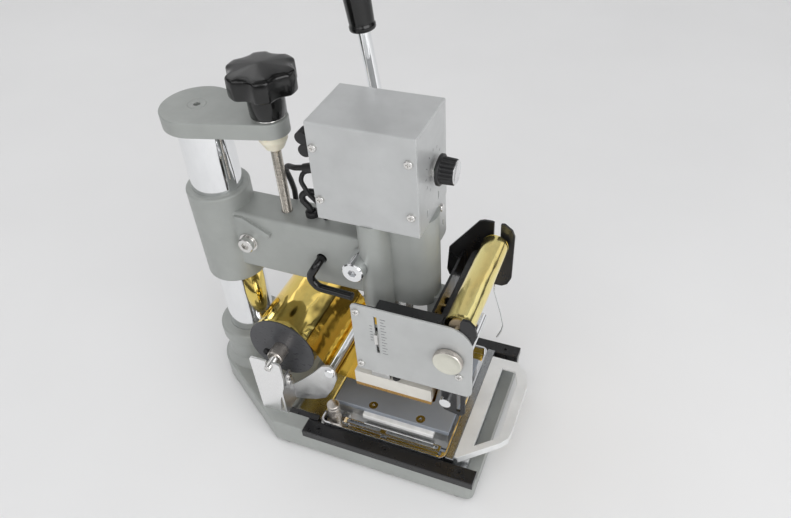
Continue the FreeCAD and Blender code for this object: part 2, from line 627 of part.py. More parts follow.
def heater_sleeve():
    """Glossy sleeve that carries the heater leads from the arm towards the head."""
    return tube_path([(LEAD_X, -6, 174), (LEAD_X, -23.5, 174), (86, -26, 160), (93, -26, 152),
                      (122, -26, 150.6)], 3.3, 7.5)


def control_board():
    board = block(118, 170, -20, 20, 232, 233.6)
    parts = [block(150, 160, -14, -2, 233.6, 246), block(134, 142, 6, 16, 233.6, 244),
             rod_z(4, 130, -8, 233.6, 245)]
    legs = [rod_z(2.5, x, y, BOX_Z0 + SHEET, 232) for x in (122, 164) for y in (-16, 16)]
    return join(board, *parts, *legs)


def transformer():
    core = block(124, 152, -16, 16, 250, 284)
    windings = block(120, 156, -11, 11, 255, 279)
    post = rod_z(3, 138, 0, 233.6, 250)
    return join(core, windings, post)


def box_screws():
    """The two screws that hold the box down to the arm housing."""
    return [screw_z(166, y, BOX_Z0 + SHEET, 3.5, 2.2, 2, 9) for y in BOX_SCREWS_Y]


def tab_screw():
    y, z = TAB_SCREW
    head = rod_x(3, y, z, BOX_X1, BOX_X1 + 2)
    head = head.makeFillet(0.7, [e for e in head.Edges if e.Closed and e.CenterOfMass.x > BOX_X1 + 1])
    return join(head, rod_x(1.5, y, z, BOX_X1 - 1.8, BOX_X1))


# ---- lever ----
def involute_flank(offset, steps=6):
    """Points of one flank, from the base circle out to the tip circle, at a given angular offset."""
    base_r = PITCH_R * math.cos(PRESSURE)
    tip_r = PITCH_R + GEAR_MODULE
    points = []
    for i in range(steps + 1):
        r = base_r + (tip_r - base_r) * i / steps
        roll = math.acos(min(1.0, base_r / r))
        a = offset - (math.tan(roll) - roll)
        points.append((r * math.cos(a), r * math.sin(a)))
    return points


def drive_pinion():
    """Twenty involute teeth; a tooth space faces the rack at rest."""
    root_r = PITCH_R - 1.25 * GEAR_MODULE
    half_tooth = (math.pi * GEAR_MODULE / 2 - BACKLASH / 2) / 2 / PITCH_R
    base_half = half_tooth + math.tan(PRESSURE) - PRESSURE
    teeth = []
    for i in range(PINION_TEETH):
        centre = 2 * math.pi * (i + 0.5) / PINION_TEETH
        upper = [(r, a) for r, a in involute_flank(base_half)]
        lower = [(x, -y) for x, y in upper]
        inner = [(0.8 * root_r * math.cos(base_half), s * 0.8 * root_r * math.sin(base_half)) for s in (1, -1)]
        outline = [inner[1]] + lower + upper[::-1] + [inner[0]]
        c, s = math.cos(centre), math.sin(centre)
        outline = [(SHAFT_X + x * c - y * s, SHAFT_Z + x * s + y * c) for x, y in outline]
        teeth.append(prism_xz(outline, -6, 6))
    gear = join(rod_y(root_r, SHAFT_X, SHAFT_Z, -6, 6), *teeth)
    return cut(gear, rod_y(SHAFT_R, SHAFT_X, SHAFT_Z, -10, 10))


def lever_shaft():
    bar = rod_y(SHAFT_R, SHAFT_X, SHAFT_Z, -30, LEVER_Y + 9)
    return bar.makeChamfer(0.8, [e for e in bar.Edges if e.Closed])


def shaft_cap():
    cap = rod_y(8.5, SHAFT_X, SHAFT_Z, -36.5, -17)
    cap = cap.makeChamfer(1, [e for e in cap.Edges if e.Closed and e.CenterOfMass.y < -30])
    return cut(cap, rod_y(SHAFT_R, SHAFT_X, SHAFT_Z, -30, -10), hex_y(SHAFT_X, SHAFT_Z, 6, -38, -32.5))


def lean(shape):
    """Tip an upright lever part back to the rest angle about the shaft axis."""
    shape.rotate(V(SHAFT_X, 0, SHAFT_Z), V(0, 1, 0), -math.degrees(LEVER_LEAN))
    return shape


def lever_hub():
    barrel = rod_y(11, SHAFT_X, SHAFT_Z, LEVER_Y - 8, LEVER_Y + 8)
    barrel = barrel.makeChamfer(1, [e for e in barrel.Edges if e.Closed])
    neck = rod_z(7.2, SHAFT_X, LEVER_Y, SHAFT_Z, SHAFT_Z + 16)
    hub = cut(join(barrel, neck), rod_z(LEVER_R, SHAFT_X, LEVER_Y, SHAFT_Z + 7, SHAFT_Z + 20),
              rod_y(SHAFT_R, SHAFT_X, SHAFT_Z, 0, 80))
    return lean(hub)


def lever_rod():
    bar = rod_z(LEVER_R, SHAFT_X, LEVER_Y, SHAFT_Z + 7, SHAFT_Z + 205)
    return lean(bar.makeChamfer(0.6, [e for e in bar.Edges if e.Closed]))


def lever_grip():
    z0 = SHAFT_Z + 144
    r = LEVER_R
    profile = [(r, z0), (8.4, z0), (9.4, z0 + 1.2), (9.4, z0 + 4), (9.0, z0 + 7), (10.2, z0 + 35), (11.7, z0 + 70),
               (12.2, z0 + 85), (11.6, z0 + 93), (9.2, z0 + 99.5), (5, z0 + 102.5), (0, z0 + 103.3),
               (0, z0 + 61), (r, z0 + 61)]
    return lean(revolve(profile, V(SHAFT_X, LEVER_Y, 0), V(0, 0, 1), V(1, 0, 0)))


# ---- heated head ----
CROSS_Z0, CROSS_Z1 = 91.0, 98.0


def rack_ram():
    """Square ram whose rear face carries the rack."""
    pitch = math.pi * GEAR_MODULE
    line_x = SHAFT_X + PITCH_R
    root_x = line_x + 1.25 * GEAR_MODULE
    half = (pitch / 2 - BACKLASH / 2) / 2
    slope = math.tan(PRESSURE)
    body = block(root_x, RAM_X1, -RAM_HALF_W, RAM_HALF_W, CROSS_Z1 - 3, 214)
    teeth = []
    for i in range(-3, 7):
        z = SHAFT_Z + i * pitch
        tip_half = half - (line_x - RAM_TIP_X) * slope
        root_half = half + (root_x - line_x) * slope
        outline = [(root_x + 0.5, z - root_half), (root_x, z - root_half), (RAM_TIP_X, z - tip_half),
                   (RAM_TIP_X, z + tip_half), (root_x, z + root_half), (root_x + 0.5, z + root_half)]
        teeth.append(prism_xz(outline, -RAM_HALF_W, RAM_HALF_W))
    return join(body, *teeth)


def crosshead():
    plate = block(132, 172, -36, 36, CROSS_Z0, CROSS_Z1)
    plate = plate.makeFillet(4, [e for e in plate.Edges if along(e, V(0, 0, 1))])
    plate = cut(plate, block(SHAFT_X + PITCH_R + 1.25 * GEAR_MODULE, RAM_X1, -RAM_HALF_W, RAM_HALF_W,
                             CROSS_Z1 - 3, CROSS_Z1 + 1))
    for side in SIDES:
        plate = cut(plate, rod_z(PILLAR_R, PILLAR_X, side * GUIDE_Y, CROSS_Z1 - 4, CROSS_Z1 + 1))
        for x in (138, 166):
            plate = cut(plate, rod_z(2 + RUN, x, side * 30, CROSS_Z0 - 1, CROSS_Z1 + 1))
    return plate


def guide_pillars():
    return [rod_z(PILLAR_R, PILLAR_X, side * GUIDE_Y, CROSS_Z1 - 4, 223.8) for side in SIDES]


def pillar_collars():
    rings = []
    for side in SIDES:
        ring = rod_z(6.8, PILLAR_X, side * GUIDE_Y, SPRING_Z1 + 0.2, 223.8)
        rings.append(cut(ring, rod_z(PILLAR_R, PILLAR_X, side * GUIDE_Y, 200, 240)))
    return rings


def insulator_plate():
    plate = block(HEAD_X0 + 2, HEAD_X1 - 2, -37, HEAD_HALF_W - 1, HEAD_Z1, CROSS_Z0)
    for side in SIDES:
        for x in (138, 166):
            plate = cut(plate, rod_z(2 + RUN, x, side * 30, HEAD_Z1 - 1, CROSS_Z0 + 1))
    return plate


HEATER_X = (140.0, 177.0)
HEATER_Z = 80.0


def heater_block():
    body = block(HEAD_X0, HEAD_X1, -HEAD_HALF_W, HEAD_HALF_W, HEAD_Z0 + 4, HEAD_Z1)
    for x in HEATER_X:
        body = cut(body, rod_y(4 + RUN, x, HEATER_Z, -HEAD_HALF_W + 5, HEAD_HALF_W + 1))
    body = cut(body, rod_y(2 + RUN, 158.5, HEATER_Z, 0, HEAD_HALF_W + 1))
    for side in SIDES:
        for x in (138, 166):
            body = cut(body, rod_z(2 + RUN, x, side * 30, HEAD_Z1 - 4, HEAD_Z1 + 1))
    return body


def die_plate():
    plate = block(HEAD_X0, HEAD_X1, -HEAD_HALF_W, HEAD_HALF_W, HEAD_Z0, HEAD_Z0 + 4)
    return plate.makeChamfer(0.6, [e for e in plate.Edges if e.CenterOfMass.z < HEAD_Z0 + 0.1])


def cartridge_heaters():
    return [rod_y(4, x, HEATER_Z, -HEAD_HALF_W + 6, HEAD_HALF_W + 4) for x in HEATER_X]


def heat_sensor():
    return rod_y(2, 158.5, HEATER_Z, 1, HEAD_HALF_W + 5)


def thermostat():
    """Small sensor block and its round cover on the near edge of the heated block."""
    case = block(141, 156.5, -44.6, -37.6, HEAD_Z1, HEAD_Z1 + 5)
    case = case.makeChamfer(0.5, [e for e in case.Edges if e.CenterOfMass.z > HEAD_Z1 + 4.9])
    return case


def sensor_button():
    button = rod_z(3.2, 161, -41.2, HEAD_Z1, HEAD_Z1 + 3)
    return button.makeFillet(0.8, [e for e in button.Edges if e.Closed and e.CenterOfMass.z > HEAD_Z1 + 2])


def head_screws():
    return [screw_z(x, side * 30, CROSS_Z1, 3.5, 3.5, 2, 14) for side in SIDES for x in (138, 166)]


# ---- foil ----
def spool_shaft():
    bar = rod_y(3, SPOOL_X, SPOOL_Z, -67, 67)
    return bar.makeChamfer(0.5, [e for e in bar.Edges if e.Closed])


def spool_flanges():
    discs = []
    for side in SIDES:
        disc = rod_y(FLANGE_R, SPOOL_X, SPOOL_Z, side * (FOIL_HALF_W + 0.2), side * (FOIL_HALF_W + 1.4))
        discs.append(cut(disc, rod_y(3, SPOOL_X, SPOOL_Z, -80, 80)))
    return discs


def spool_collars():
    rings = []
    for side in SIDES:
        ring = rod_y(7, SPOOL_X, SPOOL_Z, side * (FOIL_HALF_W + 1.4), side * 55)
        ring = ring.makeChamfer(0.7, [e for e in ring.Edges if e.Closed and abs(e.CenterOfMass.y) > 54])
        rings.append(cut(ring, rod_y(3, SPOOL_X, SPOOL_Z, -80, 80), rod_x(1.6, side * 50, SPOOL_Z, 40, SPOOL_X)))
    return rings


def collar_screws():
    screws = []
    for side in SIDES:
        stud = rod_x(1.6, side * 50, SPOOL_Z, SPOOL_X - 11, SPOOL_X - 3)
        head = rod_x(2.6, side * 50, SPOOL_Z, SPOOL_X - 12, SPOOL_X - 8)
        screws.append(cut(join(stud, head), hex_x(side * 50, SPOOL_Z, 2.5, SPOOL_X - 13, SPOOL_X - 10)))
    return screws


def foil_core():
    tube = rod_y(CORE_R, SPOOL_X, SPOOL_Z, -FOIL_HALF_W, FOIL_HALF_W)
    return cut(tube, rod_y(3, SPOOL_X, SPOOL_Z, -80, 80))


def foil_roll():
    tube = rod_y(FOIL_R, SPOOL_X, SPOOL_Z, -FOIL_HALF_W, FOIL_HALF_W)
    return cut(tube, rod_y(CORE_R, SPOOL_X, SPOOL_Z, -80, 80))


def strip(points):
    """A thin web through (x, z) points, WEB_T thick, across the foil width."""
    upper = [(x, z + WEB_T) for x, z in points]
    return prism_xz(points + upper[::-1], -FOIL_HALF_W, FOIL_HALF_W)


def crossed_tangent(x0, z0, r0, x1, z1, r1):
    """Ends of the line that leaves the top of circle 0 and runs under circle 1."""
    span = math.hypot(x1 - x0, z1 - z0)
    a = math.atan2(z1 - z0, x1 - x0) + math.acos((r0 + r1) / span)
    c, s = math.cos(a), math.sin(a)
    return (x0 + r0 * c, z0 + r0 * s), (x1 - r1 * c, z1 - r1 * s)


def foil_web_rear():
    start, end = crossed_tangent(SPOOL_X, SPOOL_Z, FOIL_R + 0.3, GUIDE_ROD_X, GUIDE_ROD_Z, GUIDE_ROD_R + 0.5)
    (x0, z0), (x1, z1) = start, end
    back = (z0 - z1) / (x1 - x0)
    return strip([(x0 + 0.4, z0 - 0.4 * back), (x1 - 0.4, z1 + 0.4 * back)])


def foil_web_entry():
    return strip([(112, 69.4), (HEAD_X0 - 0.6, HEAD_Z0 - 0.9)])


def foil_web_head():
    return strip([(HEAD_X0, HEAD_Z0 - WEB_T - 0.2), (HEAD_X1, HEAD_Z0 - WEB_T - 0.2)])


def foil_web_front():
    """The used foil rising from the front edge of the head to the nip of the feed rollers."""
    x0, x1 = HEAD_X1 + 0.9, (PINCH_X + FEED_X) / 2 - 1
    points = [(x0, HEAD_Z0 - 0.6), (x1, FEED_Z - 1.5), (x1 + WEB_T, FEED_Z - 1.5), (x0 + WEB_T, HEAD_Z0 - 0.6)]
    return prism_xz(points, -FOIL_HALF_W, FOIL_HALF_W)


# ---- feed frame ----
PLATE_SCREWS = [(138.5, 166.0), (138.0, 110.5), (216.5, 124.5)]
POINTER_X, POINTER_Z = 153.3, 143.0
SLOT_Z0, SLOT_Z1 = 126.3, 164.8
TAKEUP_SLOT = 2.7


def near_side_plate():
    """Black plate behind the front plate: open shaft slot with an ear, and a slotted lower tongue."""
    outline = [(136, 106), (136, 171), (211, 171), (211, 166), (216.2, 166), (216.4, 178.5), (218, 181.5),
               (223, 181), (227, 176.5), (228.6, 168), (225, 158), (224, 112), (220.5, 104), (220.5, 80),
               (217, 76), (204, 79), (202, 84), (202, 106)]
    y0, y1 = -FRAME_Y, -FRAME_Y - FRAME_T
    plate = prism_xz(outline, y0, y1)
    plate = round_edges(plate, 1.5, lambda e: along(e, V(0, 1, 0)) and e.CenterOfMass.z < 105)
    return cut(plate, rod_y(3 + RUN, FRONT_ROD_X, FRONT_ROD_Z, y0 + 1, y1 - 1),
               block(214, 217, y0 + 1, y1 - 1, 81, 101))


def far_side_plate():
    outline = [(174.5, 124), (172.5, 130), (174.5, 154), (199, 186), (203, 187.6), (209.5, 187.8), (213.7, 186),
               (219, 187.5), (225.5, 182.5), (227.7, 177), (227, 134), (224, 127), (219.5, 124)]
    plate = prism_xz(outline, FRAME_Y, FRAME_Y + FRAME_T)
    return round_edges(plate, 2, lambda e: along(e, V(0, 1, 0)) and e.CenterOfMass.x > 180)


def feed_frame():
    """Black sheet frame: near and far side plates, a cross plate before the arm, and a top flange."""
    y_out = FRAME_Y + FRAME_T
    cross = block(186, 188, -y_out, y_out, 118, 154)
    flange = block(152.5, 202, -y_out, -41, 169.2, 171)
    body = join(near_side_plate(), far_side_plate(), cross, flange)
    slot = join(block(TAKEUP_X - TAKEUP_SLOT, TAKEUP_X + TAKEUP_SLOT, -60, 60, TAKEUP_Z, 195),
                rod_y(TAKEUP_SLOT, TAKEUP_X, TAKEUP_Z, -60, 60))
    body = cut(body, slot, rod_y(6 + RUN, FEED_X, FEED_Z, -60, 60), rod_y(3 + RUN, PINCH_X, PINCH_Z, -60, 60))
    lo, hi = -y_out - 1, -FRAME_Y + 1
    body = cut(body, block(POINTER_X - 2, POINTER_X + 2, lo, hi, SLOT_Z0 - 1, SLOT_Z1 + 1))
    for x, z in PLATE_SCREWS:
        body = cut(body, rod_y(1.5 + RUN, x, z, lo, hi))
    for y, z in FRAME_SCREWS:
        body = cut(body, rod_x(1.5 + RUN, y, z, 180, 190))
    return body


def feed_frame_screws():
    screws = []
    for y, z in FRAME_SCREWS:
        screws.append(join(rod_x(2.8, y, z, 188, 190), rod_x(1.5, y, z, 178, 188)))
    return screws


def front_plate():
    y0, y1 = -FRAME_Y - FRAME_T - SHEET, -FRAME_Y - FRAME_T
    outline = block(PLATE_X0, PLATE_X1, y0, y1, PLATE_Z0, PLATE_Z1)
    outline = outline.makeFillet(18, [e for e in outline.Edges if along(e, V(0, 1, 0))
                                      and e.CenterOfMass.x > 200 and e.CenterOfMass.z > 150])
    outline = outline.makeFillet(6, [e for e in outline.Edges if along(e, V(0, 1, 0))
                                     and e.CenterOfMass.x > 200 and e.CenterOfMass.z < 120])
    outline = outline.makeFillet(3, [e for e in outline.Edges if along(e, V(0, 1, 0)) and e.CenterOfMass.x < 150])
    plate = cut(outline, block(POINTER_X - 1.3, POINTER_X + 1.3, y0 - 1, y1 + 1, SLOT_Z0, SLOT_Z1),
                rod_y(5, FEED_X, FEED_Z, y0 - 1, y1 + 1))
    for x, z in PLATE_SCREWS:
        plate = cut(plate, rod_y(1.5 + RUN, x, z, y0 - 1, y1 + 1))
    return plate


def front_plate_screws():
    y = -FRAME_Y - FRAME_T - SHEET
    return [pan_screw(x, y, z, -1, 3.0, 1.8, 1.5, 5.0) for x, z in PLATE_SCREWS]


def length_pointer():
    """Pointer in the line-length slot, on a slider behind the plates."""
    y = -FRAME_Y - FRAME_T - SHEET
    tip = block(POINTER_X - 1.2, POINTER_X + 1.2, y - 2.2, -FRAME_Y + 0.5, POINTER_Z - 5, POINTER_Z + 5)
    slider = block(POINTER_X - 5, POINTER_X + 5, -FRAME_Y + 0.1, -FRAME_Y + 3, POINTER_Z - 7, POINTER_Z + 7)
    return join(tip, slider)


def front_rod():
    """Chromed rod carried by the tongue of the near side plate."""
    y = -FRAME_Y
    bar = rod_y(GUIDE_ROD_R, FRONT_ROD_X, FRONT_ROD_Z, y + 0.1, 42)
    bar = bar.makeChamfer(0.6, [e for e in bar.Edges if e.Closed])
    end = rod_y(3, FRONT_ROD_X, FRONT_ROD_Z, y - FRAME_T - 0.5, y + 1)
    return join(bar, end, rod_y(4.5, FRONT_ROD_X, FRONT_ROD_Z, y - FRAME_T - 4, y - FRAME_T))


def feed_bushes():
    bushes = []
    for side in SIDES:
        ring = rod_y(6, FEED_X, FEED_Z, side * (FRAME_Y - 2), side * (FRAME_Y + FRAME_T))
        flange = rod_y(7.5, FEED_X, FEED_Z, side * (FRAME_Y - 2), side * FRAME_Y)
        bushes.append(cut(join(ring, flange), rod_y(FEED_R + RUN, FEED_X, FEED_Z, -80, 80)))
    return bushes


def tension_wire():
    """Bent spring wire that hangs in a narrow loop from the far side plate."""
    return tube_path([(217, 52.5, 131), (213, 53.4, 121), (212.2, 54.7, 112), (214.6, 55, 103), (218.6, 55, 88),
                      (221.6, 55, 73), (220.5, 55, 66), (216.6, 55, 56)], 0.8, 9)


def feed_shaft():
    """Driving shaft that pinches the foil against the rubber roller."""
    bar = rod_y(FEED_R, FEED_X, FEED_Z, -57, 53.5)
    return bar.makeChamfer(0.5, [e for e in bar.Edges if e.Closed and e.CenterOfMass.y > 50])


def feed_knob():
    y = -FRAME_Y - FRAME_T - SHEET - 0.6
    knob = rod_y(11.4, FEED_X, FEED_Z, y, y - 5)
    knob = knob.makeChamfer(0.6, [e for e in knob.Edges if e.Closed])
    return cut(knob, rod_y(FEED_R, FEED_X, FEED_Z, -57, 0))


def pinch_roller():
    """Rubber-covered roller on its own shaft."""
    cover = rod_y(PINCH_R, PINCH_X, PINCH_Z, -45.5, 45.5)
    shaft = rod_y(3, PINCH_X, PINCH_Z, -51.3, 53)
    return cut(cover, rod_y(3, PINCH_X, PINCH_Z, -60, 60)), shaft


def takeup_shaft():
    return rod_y(2.5, TAKEUP_X, TAKEUP_Z, -51.3, 54)


def takeup_core():
    return cut(rod_y(7, TAKEUP_X, TAKEUP_Z, -47, 47), rod_y(2.5, TAKEUP_X, TAKEUP_Z, -80, 80))


def takeup_foil():
    return cut(rod_y(TAKEUP_R, TAKEUP_X, TAKEUP_Z, -46, 46), rod_y(7, TAKEUP_X, TAKEUP_Z, -80, 80))


def temp_knob():
    skirt = rod_x(11, POT_Y, POT_Z, 184.3, 186.8)
    cap = Part.makeCone(9.4, 8.8, 10, V(186.8, POT_Y, POT_Z), V(1, 0, 0))
    stem = rod_x(3, POT_Y, POT_Z, BOX_X1 - SHEET - 2.5, 190)
    return join(skirt, cap, stem)


ROCKER_X = BOX_X0 + 1


def rocker():
    """Rocker with two round lobes that tips on a pin along Y."""
    y, z = SWITCH_Y, SWITCH_Z
    lobes = [rod_y(4.7, BOX_X0 - 6, z + side * 4.8, y - 4.4, y + 4.4) for side in SIDES]
    neck = block(BOX_X0 - 6, BOX_X0 + 3, y - 4.3, y + 4.3, z - 5.5, z + 5.5)
    key = join(neck, rod_y(1.2, ROCKER_X, z, y - 5.4, y + 5.4), *lobes)
    key.rotate(V(ROCKER_X, y, z), V(0, 1, 0), -7)
    return key


# ---- table ----
TABLE_Z0 = CHANNEL_FLOOR + RUN
TRAY_Z0 = TABLE_Z0 + TABLE_T
ANVIL_SCREWS = [(x, y) for x in (134.5, 177.5) for y in (-36.5, 36.5)]
STOP_X, STOP_Y = 105.3, -53.4
HANDLE_SCREW_X = 220.0


def table_plate():
    """Sliding plate with a narrow rear end between the guides and an upright bar across the front."""
    plate = block(TABLE_X0, 225, -TABLE_HALF_W, TABLE_HALF_W, TABLE_Z0, TRAY_Z0)
    plate = plate.makeFillet(2, [e for e in plate.Edges if along(e, V(0, 0, 1))])
    rear = block(POCKET_X0 + 1, TABLE_X0 + 1, -55.6, 55.6, TABLE_Z0, TRAY_Z0)
    bar = block(TRAY_X1 + 0.6, TABLE_X1, -61.6, 61.6, TRAY_Z0 - 1, HANDLE_Z)
    bar = bar.makeFillet(0.8, [e for e in bar.Edges if e.CenterOfMass.z > HANDLE_Z - 0.1])
    plate = join(plate, rear, bar)
    for y in (-40, 40):
        plate = cut(plate, rod_z(2 + RUN, HANDLE_SCREW_X, y, 0, 30))
    return plate


def tray():
    """Chromed tray with a low wall and a narrow rolled rim."""
    t = 1.0
    x0, x1, w, top = TRAY_X0, TRAY_X1, TRAY_HALF_W, TRAY_TOP
    outer = block(x0, x1, -w, w, TRAY_Z0, top)
    outer = outer.makeFillet(5, [e for e in outer.Edges if along(e, V(0, 0, 1))])
    inner = block(x0 + t, x1 - t, -w + t, w - t, TRAY_Z0 + t, top + 1)
    inner = inner.makeFillet(4, [e for e in inner.Edges if along(e, V(0, 0, 1))])
    rim = block(x0 - 0.5, x1 + 0.5, -w - 0.5, w + 0.5, top - 1, top)
    rim = rim.makeFillet(5.5, [e for e in rim.Edges if along(e, V(0, 0, 1))])
    shell = cut(join(outer, rim), inner)
    for x, y in ANVIL_SCREWS:
        shell = cut(shell, rod_z(2 + RUN, x, y, 0, 25))
    return shell


def table_handle():
    """Folded D-shaped pull: upright web, flat front strip and loop with a turned-down outer lip."""
    t, z, x0 = 2.0, HANDLE_Z, TABLE_X1
    web = block(x0, x0 + 2, -54, 54, TRAY_Z0, z)
    foot = block(x0, x0 + 10.5, -54, 54, TRAY_Z0, TRAY_Z0 + t)
    loop = [(x0, -58.5), (217, -58.5), (246, -33.5), (250.5, -27), (251.5, -18), (251.5, 32), (246, 46),
            (238, 54), (x0, 54)]
    hole = [(226, -43.5), (243, -29), (243, 30), (238, 43), (226, 43)]
    sheet = cut(prism_xy(loop, z - t, z), prism_xy(hole, z - t - 1, z + 1))
    skirt_out = loop[1:-1]
    skirt_in = [(237.4, 52.4), (244.6, 45.1), (249.7, 31.4), (249.7, -17.6), (248.9, -26.3), (244.9, -32),
                (216.2, -56.6)]
    skirt = prism_xy(skirt_out + skirt_in, z - 7, z)
    body = join(web, foot, sheet, skirt)
    for y in (-40, 40):
        body = cut(body, rod_z(2 + RUN, HANDLE_SCREW_X, y, 0, TRAY_Z0 + 5))
    return body


def handle_screws():
    return [screw_z(HANDLE_SCREW_X, y, TRAY_Z0 + 2, 3.5, 2.2, 2, 5.8) for y in (-40, 40)]


def anvil_block():
    body = block(ANVIL_X0 + 2, ANVIL_X1 - 1, -ANVIL_HALF_W + 1, ANVIL_HALF_W - 1, TRAY_Z0 + 1, ANVIL_TOP - 4)
    for x, y in ANVIL_SCREWS:
        body = cut(body, rod_z(2 + RUN, x, y, 0, 60))
    return body


def anvil_plate():
    plate = block(ANVIL_X0, ANVIL_X1, -ANVIL_HALF_W, ANVIL_HALF_W, ANVIL_TOP - 4, ANVIL_TOP)
    plate = plate.makeChamfer(0.5, [e for e in plate.Edges if e.CenterOfMass.z > ANVIL_TOP - 0.1])
    for x, y in ANVIL_SCREWS:
        sink = Part.makeCone(2 + RUN, 4.1, 2.1, V(x, y, ANVIL_TOP - 2.1), V(0, 0, 1))
        plate = cut(plate, rod_z(2 + RUN, x, y, 0, 60), sink)
    return plate


def anvil_screws():
    screws = []
    for x, y in ANVIL_SCREWS:
        head = Part.makeCone(2, 4, 2, V(x, y, ANVIL_TOP - 2.1), V(0, 0, 1))
        screw = join(head, rod_z(2, x, y, TRAY_Z0, ANVIL_TOP - 2.1))
        screws.append(cut(screw, hex_z(x, y, 2.5, ANVIL_TOP - 1.4, ANVIL_TOP)))
    return screws


def edge_strip():
    """White plastic strip along the near side of the anvil block."""
    bar = block(128, 191.5, -46.4, -ANVIL_HALF_W + 1, TRAY_Z0 + 7.5, ANVIL_TOP - 4)
    return bar.makeFillet(1.2, [e for e in bar.Edges if e.CenterOfMass.y < -46.3 and not along(e, V(0, 1, 0))])


STOP_Z1 = TRAY_Z0 + 4
GAUGE_SLOTS = [(115.5, 146.5), (151.5, 198.2)]


def side_gauge():
    """Slotted steel arm of the card stop that the card's edge is set against."""
    bar = block(111.6, 200.2, -54.3, -48.9, STOP_Z1, STOP_Z1 + 1.5)
    for x0, x1 in GAUGE_SLOTS:
        slot = join(block(x0 + 1.6, x1 - 1.6, -53.2, -50.0, 0, 40),
                    rod_z(1.6, x0 + 1.6, -51.6, 0, 40), rod_z(1.6, x1 - 1.6, -51.6, 0, 40))
        bar = cut(bar, slot)
    return bar


def stop_plate():
    plate = block(98.2, 114.5, -59.6, -42.8, TRAY_Z0 + 1 + RUN, STOP_Z1)
    plate = plate.makeFillet(3.5, [e for e in plate.Edges if along(e, V(0, 0, 1)) and e.CenterOfMass.x < 100])
    return cut(plate, rod_z(1.5 + RUN, STOP_X, STOP_Y, 0, 60))


def stop_thumbscrew():
    """Tall knurled nut on a stud that clamps the card stop."""
    z = STOP_Z1 + RUN
    head = rod_z(5.6, STOP_X, STOP_Y, z, z + 22)
    head = head.makeChamfer(0.8, [e for e in head.Edges if e.Closed])
    return join(head, rod_z(1.5, STOP_X, STOP_Y, TRAY_Z0 + 1.2, z))


def main():
    os.makedirs("parts", exist_ok=True)
    save("base_casting", base_casting())
    save("rubber_feet", *rubber_feet())
    save("rails", rail(-1), rail(1), guide_tongue(-1), guide_tongue(1))
    save("base_screws", *rail_screws(), *unwind_bracket_screws(), bracket_screw())
    save("column", column())
    save("top_bracket", top_bracket())
    save("screw_bush", screw_bush())
    save("unwind_brackets", unwind_bracket(-1), unwind_bracket(1))
    save("guide_rod", guide_rod())
    save("foil_web_rear", foil_web_rear())

    save("star_knob", star_knob())
    save("height_screw", height_screw(), knob_washer())

    save("arm_casting", arm_casting())
    save("clamp_set", clamp_cotter(), clamp_bolt(), clamp_washer())
    save("bronze_bushes", lift_nut(), *shaft_bushes(), *feed_bushes())
    save("return_springs", *return_springs())
    save("box_chassis", box_chassis())
    save("box_cover", box_cover())
    save("panel_screws", *cover_screws(), *box_screws(), tab_screw(), pot_nut(), *feed_frame_screws(),
         *front_plate_screws())
    save("switch_housing", switch_housing())
    save("electronics", control_board(), transformer(), potentiometer())
    save("cables", mains_cord(), cord_gland(), heater_cable(), cable_grommet(), sensor_lead(), heater_sleeve())
    save("feed_frame", feed_frame())
    save("front_plate", front_plate())
    save("front_rod", front_rod())
    save("tension_wire", tension_wire())
    save("foil_web_front", foil_web_entry(), foil_web_front())

    save("lever_shaft", lever_shaft(), shaft_cap())
    save("drive_pinion", drive_pinion())
    save("lever_hub", lever_hub())
    save("lever_rod", lever_rod())
    save("lever_grip", lever_grip())

    save("rack_ram", rack_ram())
    save("crosshead", crosshead(), thermostat(), *head_screws())
    save("guide_pillars", *guide_pillars(), *pillar_collars())
    save("insulator_plate", insulator_plate())
    save("heater_block", heater_block())
    save("die_plate", die_plate())
    save("cartridge_heaters", *cartridge_heaters(), heat_sensor(), sensor_button())
    save("foil_web_head", foil_web_head())

    save("spool_shaft", spool_shaft(), *spool_collars(), *collar_screws())
    save("spool_flanges", *spool_flanges())
    save("foil_roll", foil_roll(), foil_core())
    save("feed_shaft", feed_shaft())
    save("feed_knob", feed_knob())
    save("pinch_roller", *pinch_roller())
    save("takeup_roll", takeup_foil(), takeup_core(), takeup_shaft())
    save("length_pointer", length_pointer())
    save("temp_knob", temp_knob())
    save("rocker", rocker())

    save("table_plate", table_plate())
    save("tray", tray())
    save("table_handle", table_handle())
    save("anvil_block", anvil_block())
    save("anvil_plate", anvil_plate())
    save("table_screws", *anvil_screws(), *handle_screws())
    save("edge_strip", edge_strip())
    save("side_gauge", side_gauge())
    save("stop_plate", stop_plate())
    save("stop_thumbscrew", stop_thumbscrew())


main()
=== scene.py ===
import bpy
import math
from mathutils import Matrix, Vector, noise


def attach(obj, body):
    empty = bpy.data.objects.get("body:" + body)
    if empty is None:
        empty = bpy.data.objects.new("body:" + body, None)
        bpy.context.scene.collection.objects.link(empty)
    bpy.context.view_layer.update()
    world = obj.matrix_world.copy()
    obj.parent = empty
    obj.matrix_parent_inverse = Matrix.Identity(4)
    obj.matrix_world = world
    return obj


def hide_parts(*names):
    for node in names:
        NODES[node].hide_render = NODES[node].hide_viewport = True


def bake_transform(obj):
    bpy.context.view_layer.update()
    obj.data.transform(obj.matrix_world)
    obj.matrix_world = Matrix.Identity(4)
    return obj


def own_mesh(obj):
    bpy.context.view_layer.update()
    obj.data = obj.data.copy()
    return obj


# Looks for the bench-top hot foil stamper. Lengths in the helpers are millimetres; MM turns them
# into Blender metres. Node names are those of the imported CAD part.

MM = 0.001
TURN = 2 * math.pi

